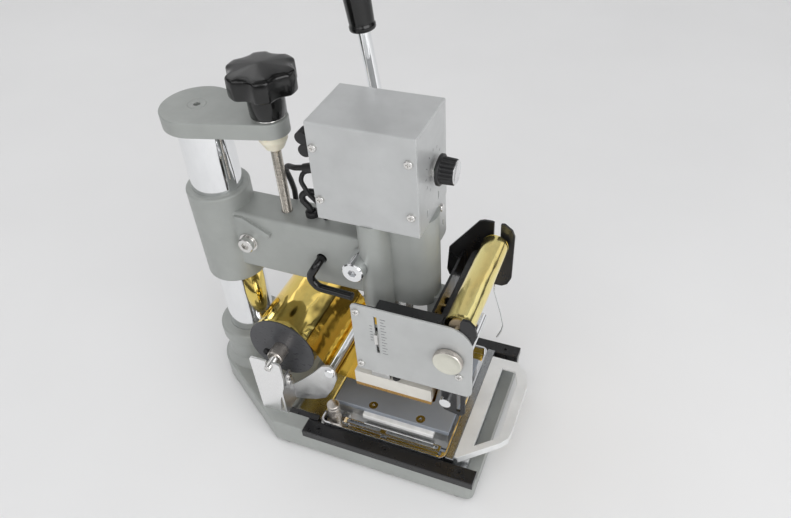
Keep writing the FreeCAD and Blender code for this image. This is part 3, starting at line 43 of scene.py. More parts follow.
# Fixed points that several pieces share.
SPOOL = (57, 0, 85.7)
SPOOL_FOIL_R = 29.5
GUIDE_X, GUIDE_Z, GUIDE_R = 103, 76.6, 5.0
LIFT_SCREW = (60, 0)
KNOB_Z = 284.6
WEB_HALF = 40.8
WEB_Z = 69.35
HEAD_REAR_X, HEAD_FRONT_X = 126.4, 191.2
ARM_WEB_END = (114.0, 69.5)

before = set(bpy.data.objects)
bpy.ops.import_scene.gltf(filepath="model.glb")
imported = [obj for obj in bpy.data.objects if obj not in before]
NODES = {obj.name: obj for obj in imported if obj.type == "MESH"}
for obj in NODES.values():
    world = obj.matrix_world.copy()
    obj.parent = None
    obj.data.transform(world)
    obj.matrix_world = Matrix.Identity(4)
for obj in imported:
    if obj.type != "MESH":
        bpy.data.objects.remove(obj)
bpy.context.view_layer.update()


# ---- materials ----
class Recipe:
    """A principled material built from a few named layers, all in object space."""

    def __init__(self, name):
        self.material = bpy.data.materials.new(name)
        self.material.use_nodes = True
        self.tree = self.material.node_tree
        self.shader = self.tree.nodes["Principled BSDF"]
        self.place = self.add("ShaderNodeTexCoord").outputs["Object"]
        self.normal = None

    def add(self, kind, **settings):
        node = self.tree.nodes.new(kind)
        for key, value in settings.items():
            setattr(node, key, value)
        return node

    def link(self, value, socket):
        if hasattr(value, "is_output"):
            self.tree.links.new(value, socket)
        else:
            socket.default_value = value

    def set(self, **inputs):
        for key, value in inputs.items():
            self.link(value, self.shader.inputs[key.replace("_", " ")])

    def noise(self, size_mm, detail=4.0, rough=0.55, stretch=(1, 1, 1), distortion=0.0):
        """Noise whose features are about size_mm across, longer along a stretched axis."""
        mapping = self.add("ShaderNodeMapping")
        self.link(self.place, mapping.inputs["Vector"])
        mapping.inputs["Scale"].default_value = [1.0 / s for s in stretch]
        node = self.add("ShaderNodeTexNoise")
        self.link(mapping.outputs["Vector"], node.inputs["Vector"])
        node.inputs["Scale"].default_value = 1.0 / (size_mm * MM)
        node.inputs["Detail"].default_value = detail
        node.inputs["Roughness"].default_value = rough
        node.inputs["Distortion"].default_value = distortion
        return node.outputs["Fac"]

    def cells(self, size_mm):
        """Distance to the nearest of scattered points about size_mm apart."""
        node = self.add("ShaderNodeTexVoronoi")
        self.link(self.place, node.inputs["Vector"])
        node.inputs["Scale"].default_value = 1.0 / (size_mm * MM)
        return node.outputs["Distance"]

    def ramp(self, value, *stops):
        """Piecewise linear number from (position, value) stops."""
        node = self.add("ShaderNodeValToRGB")
        self.link(value, node.inputs["Fac"])
        ramp = node.color_ramp
        while len(ramp.elements) < len(stops):
            ramp.elements.new(0.5)
        for element, (where, level) in zip(ramp.elements, stops):
            element.position = where
            element.color = (level, level, level, 1.0)
        return node.outputs["Color"]

    def mix(self, factor, first, second):
        node = self.add("ShaderNodeMix", data_type="RGBA")
        self.link(factor, node.inputs["Factor"])
        for value, socket in ((first, node.inputs["A"]), (second, node.inputs["B"])):
            self.link((*value, 1.0) if isinstance(value, tuple) else value, socket)
        return node.outputs["Result"]

    def calc(self, operation, first, second=0.0):
        node = self.add("ShaderNodeMath", operation=operation)
        self.link(first, node.inputs[0])
        self.link(second, node.inputs[1])
        return node.outputs["Value"]

    def round_edges(self, radius_mm):
        """Softens every edge in the shading and returns a mask that is 1 on the edges."""
        bevel = self.add("ShaderNodeBevel", samples=4)
        bevel.inputs["Radius"].default_value = radius_mm * MM
        self.normal = bevel.outputs["Normal"]
        flat = self.add("ShaderNodeNewGeometry").outputs["Normal"]
        dot = self.add("ShaderNodeVectorMath", operation="DOT_PRODUCT")
        self.link(self.normal, dot.inputs[0])
        self.link(flat, dot.inputs[1])
        return self.ramp(dot.outputs["Value"], (0.80, 1.0), (0.985, 0.0))

    def bump(self, height, depth_mm, strength=1.0):
        node = self.add("ShaderNodeBump")
        node.inputs["Strength"].default_value = strength
        node.inputs["Distance"].default_value = depth_mm * MM
        self.link(height, node.inputs["Height"])
        if self.normal is not None:
            self.link(self.normal, node.inputs["Normal"])
        self.normal = node.outputs["Normal"]

    def done(self):
        if self.normal is not None:
            self.link(self.normal, self.shader.inputs["Normal"])
        return self.material


def mul(color, k):
    return tuple(min(1.0, c * k) for c in color)


def enamel(name, color, metallic=0.25, rough=0.42, grain_mm=0.9, grain_depth=0.02, edge=0.35, edge_mm=0.5):
    """Sprayed enamel: orange peel, faint cloudy tone, brighter rubbed edges, a little grime."""
    r = Recipe(name)
    edges = r.round_edges(edge_mm)
    cloud = r.noise(28, 3)
    grit = r.noise(0.7, 3, 0.7)
    tone = r.mix(r.ramp(cloud, (0.3, 0.0), (0.7, 1.0)), mul(color, 0.93), mul(color, 1.05))
    tone = r.mix(r.ramp(grit, (0.62, 0.0), (0.72, 0.22)), tone, mul(color, 1.35))
    grime = r.ramp(r.noise(9, 5, 0.65), (0.58, 0.0), (0.78, 0.3))
    tone = r.mix(grime, tone, mul(color, 0.8))
    worn = r.calc("MULTIPLY", edges, r.ramp(r.noise(3.0, 4), (0.35, 0.25), (0.6, edge * 2)))
    tone = r.mix(worn, tone, mul(color, 1.55))
    r.bump(r.noise(grain_mm, 4, 0.6), grain_depth, 0.6)
    r.bump(r.noise(14, 2), 0.08, 0.3)
    roughness = r.ramp(r.noise(6, 4), (0.3, rough * 0.85), (0.7, rough * 1.15))
    r.set(Base_Color=tone, Metallic=metallic, Roughness=roughness)
    return r.done()


def bare_metal(name, color, rough=0.25, brushed=(1, 1, 1), streak_mm=0.25, depth=0.004, spots=0.25,
               edge_mm=0.3):
    """Bare metal: fine grain drawn out along one direction, smudges, duller patches, bright edges."""
    r = Recipe(name)
    edges = r.round_edges(edge_mm)
    grain = r.noise(streak_mm, 3, 0.6, stretch=brushed)
    smudge = r.ramp(r.noise(7, 5, 0.6), (0.45, 0.0), (0.75, 1.0))
    tone = r.mix(r.ramp(grain, (0.3, 0.0), (0.7, 1.0)), mul(color, 0.9), mul(color, 1.06))
    tone = r.mix(r.calc("MULTIPLY", smudge, spots), tone, mul(color, 0.72))
    tone = r.mix(r.calc("MULTIPLY", edges, 0.5), tone, mul(color, 1.2))
    roughness = r.calc("ADD", r.ramp(grain, (0.25, rough * 0.75), (0.75, rough * 1.25)),
                       r.calc("MULTIPLY", smudge, rough * 0.45))
    r.bump(grain, depth, 0.5)
    r.set(Base_Color=tone, Metallic=1.0, Roughness=roughness)
    return r.done()


def chrome(name, color=(0.86, 0.87, 0.88), rough=0.06):
    """Polished plating: near mirror, hairline streaks, cloudy smears and a few pits."""
    r = Recipe(name)
    r.round_edges(0.3)
    smear = r.ramp(r.noise(12, 4, 0.6, stretch=(1, 1, 2.5)), (0.42, 0.0), (0.7, 1.0))
    hair = r.noise(0.35, 2, 0.5, stretch=(1, 1, 14))
    pits = r.ramp(r.cells(5.0), (0.0, 1.0), (0.035, 0.0))
    tone = r.mix(r.calc("MULTIPLY", smear, 0.3), color, mul(color, 0.8))
    tone = r.mix(pits, tone, (0.30, 0.29, 0.28))
    roughness = r.calc("ADD", r.ramp(hair, (0.35, rough * 0.7), (0.65, rough * 1.4)),
                       r.calc("MULTIPLY", smear, rough * 1.2))
    r.bump(hair, 0.002, 0.3)
    r.bump(r.noise(18, 2), 0.05, 0.2)
    r.set(Base_Color=tone, Metallic=1.0, Roughness=roughness)
    return r.done()


def plastic(name, color, rough=0.3, grain_mm=0.5, grain_depth=0.006, dust=0.15, edge_mm=0.5, soft=0.0):
    """Moulded plastic or rubber: fine skin texture, scuffs, dust in patches."""
    r = Recipe(name)
    edges = r.round_edges(edge_mm)
    specks = r.ramp(r.noise(1.2, 5, 0.8), (0.66, 0.0), (0.76, dust))
    cloud = r.ramp(r.noise(16, 4), (0.3, 0.0), (0.75, 1.0))
    tone = r.mix(cloud, mul(color, 0.85), mul(color, 1.2))
    tone = r.mix(specks, tone, (0.45, 0.44, 0.42))
    tone = r.mix(r.calc("MULTIPLY", edges, 0.25), tone, mul(color, 2.0))
    scuff = r.noise(2.2, 4, 0.7, stretch=(3, 1, 1))
    roughness = r.ramp(scuff, (0.3, rough * 0.8), (0.72, rough * 1.35))
    r.bump(r.noise(grain_mm, 3, 0.6), grain_depth, 0.5)
    r.set(Base_Color=tone, Roughness=roughness, Subsurface_Weight=soft)
    if soft:
        r.shader.inputs["Subsurface Radius"].default_value = (0.002, 0.0015, 0.001)
    return r.done()


def foil(name, color, rough=0.09, crinkle_depth=0.5, wave_mm=14.0):
    """Metallised film: mirror gold with creases across the web, soft waves and worn dull bands."""
    r = Recipe(name)
    wave = r.noise(wave_mm, 2, 0.5, stretch=(1, 3.5, 1), distortion=0.4)
    crease = r.noise(2.6, 3, 0.6, stretch=(0.8, 4.0, 0.8), distortion=0.8)
    dull = r.ramp(r.noise(10, 5, 0.6, stretch=(1, 2, 1)), (0.52, 0.0), (0.74, 1.0))
    tone = r.mix(dull, color, mul(color, 0.78))
    warm = (color[0], color[1] * 0.72, color[2] * 0.4)
    tone = r.mix(r.ramp(wave, (0.35, 0.0), (0.65, 0.4)), tone, warm)
    roughness = r.calc("ADD", rough, r.calc("MULTIPLY", dull, 0.12))
    r.bump(wave, crinkle_depth, 0.5)
    r.bump(crease, crinkle_depth * 0.16, 0.45)
    r.set(Base_Color=tone, Metallic=1.0, Roughness=roughness)
    return r.done()


def make_materials():
    m = {}
    m["cast"] = enamel("cast_enamel", (0.355, 0.37, 0.355), metallic=0.25, rough=0.42, grain_mm=1.1,
                       grain_depth=0.03)
    m["sheet"] = enamel("sheet_enamel", (0.52, 0.53, 0.53), metallic=0.35, rough=0.36, grain_mm=0.5,
                        grain_depth=0.008, edge=0.7, edge_mm=0.8)
    m["plate"] = enamel("plate_enamel", (0.50, 0.51, 0.505), metallic=0.25, rough=0.36, grain_mm=0.5,
                        grain_depth=0.006, edge=0.6, edge_mm=0.5)
    m["chrome"] = chrome("hard_chrome", (0.90, 0.91, 0.92))
    m["steel"] = bare_metal("plain_steel", (0.66, 0.66, 0.65), rough=0.24)
    m["zinc"] = bare_metal("zinc_screws", (0.78, 0.77, 0.75), rough=0.16, spots=0.15, edge_mm=0.15)
    m["thread"] = bare_metal("screw_thread", (0.60, 0.56, 0.50), rough=0.24, edge_mm=0.05)
    m["wing"] = bare_metal("bright_sheet", (0.93, 0.93, 0.93), rough=0.38, brushed=(1, 1, 12), depth=0.0006,
                           spots=0.05)
    m["slide"] = bare_metal("polished_slide", (0.80, 0.80, 0.79), rough=0.16, brushed=(12, 1, 1),
                            depth=0.0006, spots=0.15)
    m["lobe"] = bare_metal("satin_sheet", (0.60, 0.61, 0.60), rough=0.34, brushed=(1, 1, 12), depth=0.0008,
                           spots=0.12)
    m["pull"] = enamel("satin_pull", (0.80, 0.81, 0.81), metallic=0.3, rough=0.33, grain_mm=0.5,
                       grain_depth=0.005, edge=0.6, edge_mm=0.6)
    m["bar"] = bare_metal("grey_bar", (0.40, 0.41, 0.42), rough=0.26, brushed=(1, 14, 1), depth=0.0008,
                          spots=0.2)
    m["milled"] = enamel("milled_plate", (0.265, 0.29, 0.33), metallic=0.2, rough=0.34, grain_mm=0.4,
                         grain_depth=0.004, edge=0.5, edge_mm=0.3)
    m["alloy"] = bare_metal("cast_alloy", (0.62, 0.62, 0.61), rough=0.34, brushed=(6, 1, 1))
    m["knurl"] = bare_metal("knurled_nickel", (0.74, 0.69, 0.64), rough=0.28, spots=0.12, edge_mm=0.1)
    m["face"] = bare_metal("turned_face", (0.80, 0.79, 0.70), rough=0.42, spots=0.1, edge_mm=0.4)
    m["silver"] = bare_metal("silver_cap", (0.86, 0.86, 0.87), rough=0.22, spots=0.1, edge_mm=0.2)
    m["bronze"] = bare_metal("bronze", (0.66, 0.40, 0.14), rough=0.26)
    m["black"] = enamel("black_enamel", (0.011, 0.011, 0.012), metallic=0.0, rough=0.30, grain_mm=0.8,
                        grain_depth=0.01, edge=0.2, edge_mm=0.4)
    m["gloss"] = plastic("gloss_black", (0.006, 0.006, 0.006), rough=0.14, dust=0.03, edge_mm=0.8)
    m["matt"] = plastic("matt_black", (0.013, 0.013, 0.014), rough=0.42, dust=0.08)
    m["ink"] = plastic("scale_ink", (0.10, 0.10, 0.11), rough=0.5, dust=0.0, edge_mm=0.05)
    m["rubber"] = plastic("black_rubber", (0.022, 0.022, 0.023), rough=0.62, grain_mm=0.8,
                          grain_depth=0.02, dust=0.2)
    m["grey"] = plastic("grey_flange", (0.052, 0.053, 0.058), rough=0.30, dust=0.10, edge_mm=0.3)
    m["nylon"] = plastic("cream_nylon", (0.78, 0.74, 0.60), rough=0.38, dust=0.0, soft=0.3)
    m["cream"] = enamel("cream_heater", (0.74, 0.72, 0.66), metallic=0.1, rough=0.34, grain_mm=0.8,
                        grain_depth=0.01, edge=0.3, edge_mm=0.5)
    m["board"] = plastic("heat_board", (0.13, 0.12, 0.105), rough=0.6, grain_mm=0.9, grain_depth=0.02,
                         dust=0.1)
    m["white"] = plastic("white_strip", (0.80, 0.80, 0.79), rough=0.35, dust=0.0)
    m["gold"] = foil("gold_foil", (0.90, 0.60, 0.10), crinkle_depth=0.35)
    m["gold_flat"] = foil("gold_foil_wound", (0.98, 0.78, 0.24), rough=0.08, crinkle_depth=0.12,
                          wave_mm=20.0)
    m["gold_pale"] = foil("gold_foil_used", (1.0, 0.88, 0.38), rough=0.14, crinkle_depth=0.10, wave_mm=20.0)
    m["core"] = plastic("card_core", (0.34, 0.27, 0.18), rough=0.7, grain_mm=0.6, grain_depth=0.03, dust=0.1)
    m["circuit"] = plastic("circuit_green", (0.03, 0.16, 0.06), rough=0.35, dust=0.1)
    return m


MAT = make_materials()

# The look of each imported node.
CAD_LOOK = {
    "base_casting": "cast", "rubber_feet": "rubber", "rails": "black", "base_screws": "zinc",
    "column": "chrome", "top_bracket": "cast", "screw_bush": "nylon", "unwind_brackets": "wing",
    "guide_rod": "chrome", "foil_web_rear": "gold", "star_knob": "gloss", "height_screw": "thread",
    "arm_casting": "cast", "clamp_set": "zinc", "bronze_bushes": "bronze", "return_springs": "steel",
    "box_chassis": "sheet", "box_cover": "sheet", "panel_screws": "zinc", "switch_housing": "matt", "electronics": "circuit",
    "cables": "matt", "feed_frame": "black", "front_plate": "plate", "front_rod": "chrome",
    "tension_wire": "chrome", "foil_web_front": "gold", "lever_shaft": "chrome", "drive_pinion": "steel",
    "lever_hub": "chrome", "lever_rod": "chrome", "lever_grip": "gloss", "rack_ram": "steel",
    "crosshead": "alloy", "guide_pillars": "chrome", "insulator_plate": "board", "heater_block": "cream",
    "die_plate": "bronze", "cartridge_heaters": "matt", "foil_web_head": "gold", "spool_shaft": "steel",
    "spool_flanges": "grey", "foil_roll": "gold_flat", "feed_shaft": "chrome", "feed_knob": "steel",
    "pinch_roller": "rubber", "takeup_roll": "gold_pale", "length_pointer": "zinc", "temp_knob": "matt",
    "rocker": "matt", "table_plate": "slide", "tray": "chrome", "table_handle": "pull",
    "anvil_block": "alloy", "anvil_plate": "milled", "table_screws": "zinc", "edge_strip": "white",
    "side_gauge": "chrome", "stop_plate": "steel", "stop_thumbscrew": "knurl",
}

# A second finish on part of a node: faces whose middle, in millimetres, passes the test.
FACE_LOOK = {
    "base_screws": [("black", lambda c: c.x > 84), ("cast", lambda c: c.z > 200)],
    "cables": [("gloss", lambda c: c.y < -5 and c.z < 182)],
    "unwind_brackets": [("lobe", lambda c: c.y > -56 and c.x < 62.2)],
    "table_plate": [("bar", lambda c: c.x > 207)],
    "crosshead": [("black", lambda c: c.z > 98.2)],
    "heater_block": [("bronze", lambda c: c.z < 71.8)],
    "panel_screws": [("black", lambda c: 180 < c.x < 192 and abs(c.y) < 9 and c.z < 142)],
}


def dress_cad():
    for name, look in CAD_LOOK.items():
        mesh = NODES[name].data
        mesh.materials.clear()
        mesh.materials.append(MAT[look])
        for index, (second, test) in enumerate(FACE_LOOK.get(name, []), 1):
            mesh.materials.append(MAT[second])
            for face in mesh.polygons:
                if test(face.center / MM):
                    face.material_index = index


dress_cad()


# ---- mesh helpers ----
class Shell:
    """Collects vertices in millimetres and faces, each with the look of its own."""

    def __init__(self):
        self.verts, self.faces, self.looks = [], [], []

    def grid(self, rows, look, wrap=True, caps=(False, False)):
        """Quads between rows of points; wrap joins each row's ends."""
        first, n = len(self.verts), len(rows[0])
        for row in rows:
            self.verts.extend(row)
        for i in range(len(rows) - 1):
            for j in range(n if wrap else n - 1):
                a, b = first + i * n + j, first + i * n + (j + 1) % n
                self.faces.append((a, b, b + n, a + n))
                self.looks.append(look)
        if caps[0]:
            self.faces.append(tuple(range(first + n - 1, first - 1, -1)))
            self.looks.append(look)
        if caps[1]:
            last = first + (len(rows) - 1) * n
            self.faces.append(tuple(range(last, last + n)))
            self.looks.append(look)

    def turned(self, axis, rows, look, steps=64, caps=(True, True)):
        """A turned skin from (height, radius) rows; a radius may be a function of angle and height."""
        rings = []
        for height, radius in rows:
            ring = []
            for k in range(steps):
                angle = TURN * k / steps
                r = radius(angle, height) if callable(radius) else radius
                ring.append(axis.point(r, angle, height))
            rings.append(ring)
        self.grid(rings, look, caps=caps)

    def tube(self, points, radius, look, steps=16):
        """A round tube through the points, closed with a flat cap at both ends."""
        frames, normal = [], None
        for i, p in enumerate(points):
            ahead = points[min(i + 1, len(points) - 1)] - points[max(i - 1, 0)]
            ahead.normalize()
            if normal is None:
                normal = ahead.orthogonal().normalized()
            normal = (normal - ahead * normal.dot(ahead)).normalized()
            frames.append((p, normal.copy(), ahead.cross(normal)))
        rings = []
        for i, (p, u, v) in enumerate(frames):
            r = radius(i / (len(points) - 1)) if callable(radius) else radius
            rings.append([p + (u * math.cos(a) + v * math.sin(a)) * r
                          for a in (TURN * k / steps for k in range(steps))])
        self.grid(rings, look, caps=(True, True))

    def build(self, name, body, replaced=(), sharp=38, ride=True):
        mesh = bpy.data.meshes.new(name)
        mesh.from_pydata([tuple(v * MM) for v in self.verts], [], self.faces)
        names = sorted(set(self.looks))
        for look in names:
            mesh.materials.append(MAT[look])
        for face, look in zip(mesh.polygons, self.looks):
            face.use_smooth = True
            face.material_index = names.index(look)
        mesh.set_sharp_from_angle(angle=math.radians(sharp))
        obj = bpy.data.objects.new(name, mesh)
        bpy.context.scene.collection.objects.link(obj)
        if ride:
            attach(obj, body)
        if replaced:
            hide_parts(*replaced)
        return obj


class Axis:
    """Where a turned part sits: heights run along the axis and angles start at the side direction."""

    def __init__(self, base, along, side):
        self.base, self.along = Vector(base), Vector(along).normalized()
        self.side = Vector(side).normalized()
        self.other = self.along.cross(self.side)

    def point(self, r, angle, height):
        outward = self.side * math.cos(angle) + self.other * math.sin(angle)
        return self.base + self.along * height + outward * r


def smooth_path(points, steps=12):
    """Catmull-Rom curve through the points."""
    p = [Vector(q) for q in points]
    p = [p[0] * 2 - p[1], *p, p[-1] * 2 - p[-2]]
    out = []
    for i in range(1, len(p) - 2):
        a, b, c, d = p[i - 1], p[i], p[i + 1], p[i + 2]
        for k in range(steps):
            t = k / steps
            out.append(0.5 * ((2 * b) + (c - a) * t + (2 * a - 5 * b + 4 * c - d) * t * t
                              + (3 * b - a - 3 * c + d) * t * t * t))
    out.append(p[-2].copy())
    return out


def smooth_rows(rows, steps=6):
    """(height, radius) rows joined by a smooth curve."""
    return [(q.x, q.y) for q in smooth_path([(h, r, 0) for h, r in rows], steps)]


def knurl(radius, teeth, depth, pitch):
    """Diamond knurling: two crossed sets of ridges."""
    def at(angle, height):
        a = abs((angle / TURN * teeth + height / pitch) % 1.0 - 0.5)
        b = abs((angle / TURN * teeth - height / pitch) % 1.0 - 0.5)
        return radius - depth * 2 * max(a, b) * 0.9
    return at


def straight_ribs(radius, count, depth):
    """Ribs that run straight along the axis."""
    def at(angle, height):
        return radius - depth * (0.5 + 0.5 * math.cos(angle * count)) ** 2
    return at


def spread(low, high, count):
    """Evenly spaced numbers from low to high, both included."""
    return [low + (high - low) * i / (count - 1) for i in range(count)]


# ---- height screw and its knob ----
LOBES = 6
CROWN_R = 25.0
SCALLOP_AT, SCALLOP_R = 33.5, 12
SOFT_CORNER = 1.1
CROWN_STEPS = 192


def lobed(angle, inset):
    """Outline of the crown with a scallop between each pair of lobes, less an inset."""
    nearest = 1e9
    for i in range(LOBES):
        off = angle - math.radians(60 * i + 30)
        off = (off + math.pi) % TURN - math.pi
        reach = SCALLOP_AT * math.sin(off)
        if abs(off) < math.pi / 2 and abs(reach) < SCALLOP_R:
            nearest = min(nearest, SCALLOP_AT * math.cos(off) - math.sqrt(SCALLOP_R ** 2 - reach * reach))
    if nearest > 2 * CROWN_R + 10:
        return CROWN_R - inset
    nearness = math.exp(-CROWN_R / SOFT_CORNER) + math.exp(-nearest / SOFT_CORNER)
    return -SOFT_CORNER * math.log(nearness) - inset


def make_star_knob():
    shell = Shell()
    axis = Axis((*LIFT_SCREW, KNOB_Z), (0, 0, 1), (1, 0, 0))
    shell.turned(axis, [(0, 12.4), (0.7, 13.0), (12, 13.3), (17, 13.6), (19.4, 15.0)], "gloss", 96)
    angles = [TURN * k / CROWN_STEPS for k in range(CROWN_STEPS)]
    rings = [[axis.point(11.0, angle, 19.3) for angle in angles]]
    sides = [(19.0, 3.2), (19.2, 1.6), (19.9, 0.5), (21.0, 0.05), (27, 0.0), (33.2, 0.15), (34.4, 0.7),
             (35.2, 1.8)]
    for height, inset in sides:
        rings.append([axis.point(lobed(angle, inset), angle, height) for angle in angles])
    # The top is domed, and its outline turns from lobed to round towards the middle.
    for share in (0.86, 0.74, 0.6, 0.45, 0.3, 0.15, 0.02):
        height = 35.3 + 3.0 * (1 - share) ** 0.8
        blend_in = share ** 1.5
        ring = []
        for angle in angles:
            lobe = lobed(angle, 0) * share * 0.985
            ring.append(axis.point(lobe * blend_in + 24.0 * share * (1 - blend_in), angle, height))
        rings.append(ring)
    shell.grid(rings, "gloss", caps=(True, True))
    shell.build("star_knob_moulding", "height_screw", ["star_knob"], sharp=48)


def thread(radius, pitch, depth):
    """A screw thread with sloping flanks."""
    def at(angle, height):
        phase = (height / pitch - angle / TURN) % 1.0
        return radius - depth * (1 - abs(2 * phase - 1)) ** 0.8
    return at


def make_height_screw():
    shell = Shell()
    axis = Axis((*LIFT_SCREW, 0), (0, 0, 1), (1, 0, 0))
    skin = thread(4.0, 1.25, 0.72)
    rows = [(158.0, 3.1), (158.8, 3.3)]
    rows += [(z, skin) for z in spread(158.9, 283.0, 794)]
    rows += [(283.1, 3.4), (308.5, 3.4)]
    shell.turned(axis, rows, "thread", 28)
    washer = [(283.05, 4.2), (283.05, 11.4), (283.4, 12.0), (284.2, 12.0), (284.55, 11.5), (284.55, 4.2)]
    shell.turned(axis, washer, "zinc", 64, caps=(False, False))
    shell.build("lift_screw_threaded", "height_screw", ["height_screw"], sharp=60)


# ---- lever grip ----
def make_grip():
    shell = Shell()
    lean = math.radians(-7.1)
    axis = Axis((130, 54, 185.5), (math.sin(lean), 0, math.cos(lean)), (math.cos(lean), 0, -math.sin(lean)))
    skirt = [(144.0, 4.75), (144.0, 8.2), (144.4, 8.9), (145.4, 9.4), (147.6, 9.4), (148.4, 9.0),
             (149.2, 8.85)]
    body = smooth_rows([(149.2, 8.85), (152, 9.0), (165, 9.45), (179, 10.1), (197, 10.9), (214, 11.65),
                        (229, 12.2), (237, 11.6), (242.5, 9.6), (245.4, 6.6), (246.8, 3.0), (247.2, 0.2)], 5)
    shell.turned(axis, skirt + body[1:], "gloss", 72)
    shell.build("lever_grip_moulding", "lever", ["lever_grip"], sharp=50)


# ---- knobs and knurled parts ----
def make_feed_knob():
    shell = Shell()
    axis = Axis((209, -53.6, 141), (0, -1, 0), (1, 0, 0))
    skin = knurl(11.4, 72, 0.45, 1.1)
    rows = [(0.0, 3.6), (0.0, 10.4), (0.5, 11.0)]
    rows += [(h, skin) for h in spread(0.7, 4.1, 20)]
    rows += [(4.3, 11.1), (4.75, 10.7)]
    shell.turned(axis, rows, "knurl", 216, caps=(False, False))
    face = [(4.75, 10.7), (5.0, 10.3), (5.0, 9.9), (4.8, 9.6), (4.8, 5.0), (4.85, 0.2)]
    shell.turned(axis, face, "face", 216, caps=(False, True))
    shell.build("feed_knob_knurled", "feed_drive", ["feed_knob"], sharp=50)


def make_temp_knob():
    shell = Shell()
    axis = Axis((0, 2, 261.5), (1, 0, 0), (0, 0, 1))
    shell.turned(axis, [(176.5, 3.0), (184.4, 3.0)], "steel", 32)
    skirt = [(184.3, 3.2), (184.3, 10.6), (184.6, 11.0), (186.3, 11.0), (186.8, 10.5), (186.9, 9.6)]
    shell.turned(axis, skirt, "matt", 96, caps=(True, False))
    rows = [(186.9, 9.6)]
    rows += [(h, straight_ribs(9.4 - 0.05 * (h - 187), 18, 0.9)) for h in spread(187.3, 195.6, 9)]
    rows += [(196.1, 8.6), (196.4, 8.3)]
    shell.turned(axis, rows, "matt", 216, caps=(False, False))
    face = [(196.4, 8.3), (196.75, 8.0), (196.75, 7.7), (196.5, 7.4), (196.5, 0.2)]
    shell.turned(axis, face, "silver", 216, caps=(False, True))
    shell.build("temp_knob_ribbed", "temp_dial", ["temp_knob"], sharp=50)


def make_thumbscrew():
    shell = Shell()
    axis = Axis((105.3, -53.4, 0), (0, 0, 1), (1, 0, 0))
    shell.turned(axis, [(20.3, 1.5), (23.2, 1.5)], "steel", 24)
    skin = knurl(5.6, 38, 0.4, 1.3)
    rows = [(23.15, 3.0), (23.15, 5.0), (23.8, 5.35)]
    rows += [(z, skin) for z in spread(24.0, 40.6, 76)]
    rows += [(40.8, 5.2), (41.4, 4.9), (42.0, 5.3), (44.3, 5.35), (44.8, 5.0), (45.1, 4.4), (45.1, 0.2)]
    shell.turned(axis, rows, "knurl", 120)
    shell.build("card_stop_nut_knurled", "stop_screw", ["stop_thumbscrew"], sharp=50)


def make_spool_shaft():
    """Shaft with two knurled collars, each locked by a socket set screw."""
    shell = Shell()
    bar = Axis(SPOOL, (0, 1, 0), (0, 0, 1))
    shell.turned(bar, [(-67, 2.5), (-66.5, 3.0), (66.5, 3.0), (67, 2.5)], "zinc", 32)
    for side in (-1, 1):
        axis = Axis(SPOOL, (0, side, 0), (0, 0, 1))
        skin = knurl(7.0, 48, 0.4, 1.2)
        rows = [(42.25, 3.05), (42.25, 6.5), (42.7, 6.8)]
        rows += [(h, skin) for h in spread(42.9, 54.0, 50)]
        rows += [(54.2, 6.7), (55.0, 6.1), (55.0, 3.05)]
        shell.turned(axis, rows, "knurl", 144, caps=(False, False))
        stud = Axis((SPOOL[0], side * 50, SPOOL[2]), (-1, 0, 0), (0, 0, 1))
        screw = [(6.0, 1.6), (8.0, 1.6), (8.0, 2.3), (8.3, 2.6), (11.6, 2.6), (12, 2.2), (12.0, 1.4)]
        shell.turned(stud, screw, "matt", 32, caps=(False, False))
        shell.turned(stud, [(12.0, 1.4), (10.2, 1.3)], "matt", 6, caps=(False, True))
    shell.build("spool_shaft_and_collars", "unwind_spool", ["spool_shaft"], sharp=50)


# ---- foil ----
def wound_radius(outer, half, waves, seed):
    """Outer wrap of a foil roll: faint ridges along the roll and a slack edge."""
    def at(angle, height):
        p = Vector((math.cos(angle) * 1.6, math.sin(angle) * 1.6, height * 0.035 + seed))
        slack = noise.noise(p) * waves
        q = Vector((math.cos(angle) * 7, math.sin(angle) * 7, height * 0.12 + seed))
        fine = noise.noise(q) * waves * 0.22
        edge = max(0.0, abs(height) - (half - 3.0)) / 3.0
        return outer - waves + slack + fine - 0.35 * edge * edge
    return at


def wound_end(shell, axis, height, inner, outer, look, rings=14):
    """The edge of the wound film: rings a little in and out of line."""
    rows = []
    for i in range(rings + 1):
        r = inner + (outer - inner) * i / rings
        rows.append((height - math.copysign(0.12 * (i % 2), height), r))
    shell.turned(axis, rows, look, 96, caps=(False, False))


def make_foil_roll():
    shell = Shell()
    axis = Axis(SPOOL, (0, 1, 0), (0, 0, 1))
    skin = wound_radius(29.2, 40.7, 0.45, 3.0)
    shell.turned(axis, [(y, skin) for y in spread(-40.7, 40.7, 74)], "gold_flat", 200, caps=(False, False))
    for side in (-1, 1):
        wound_end(shell, axis, side * 40.65, 14.5, 28.6, "gold_flat")
        shell.turned(axis, [(side * 40.7, 3.1), (side * 40.7, 14.4)], "core", 64, caps=(False, False))
    shell.turned(axis, [(-40.6, 3.1), (40.6, 3.1)], "core", 48, caps=(False, False))
    shell.build("foil_roll_wound", "unwind_spool", ["foil_roll"], sharp=50)


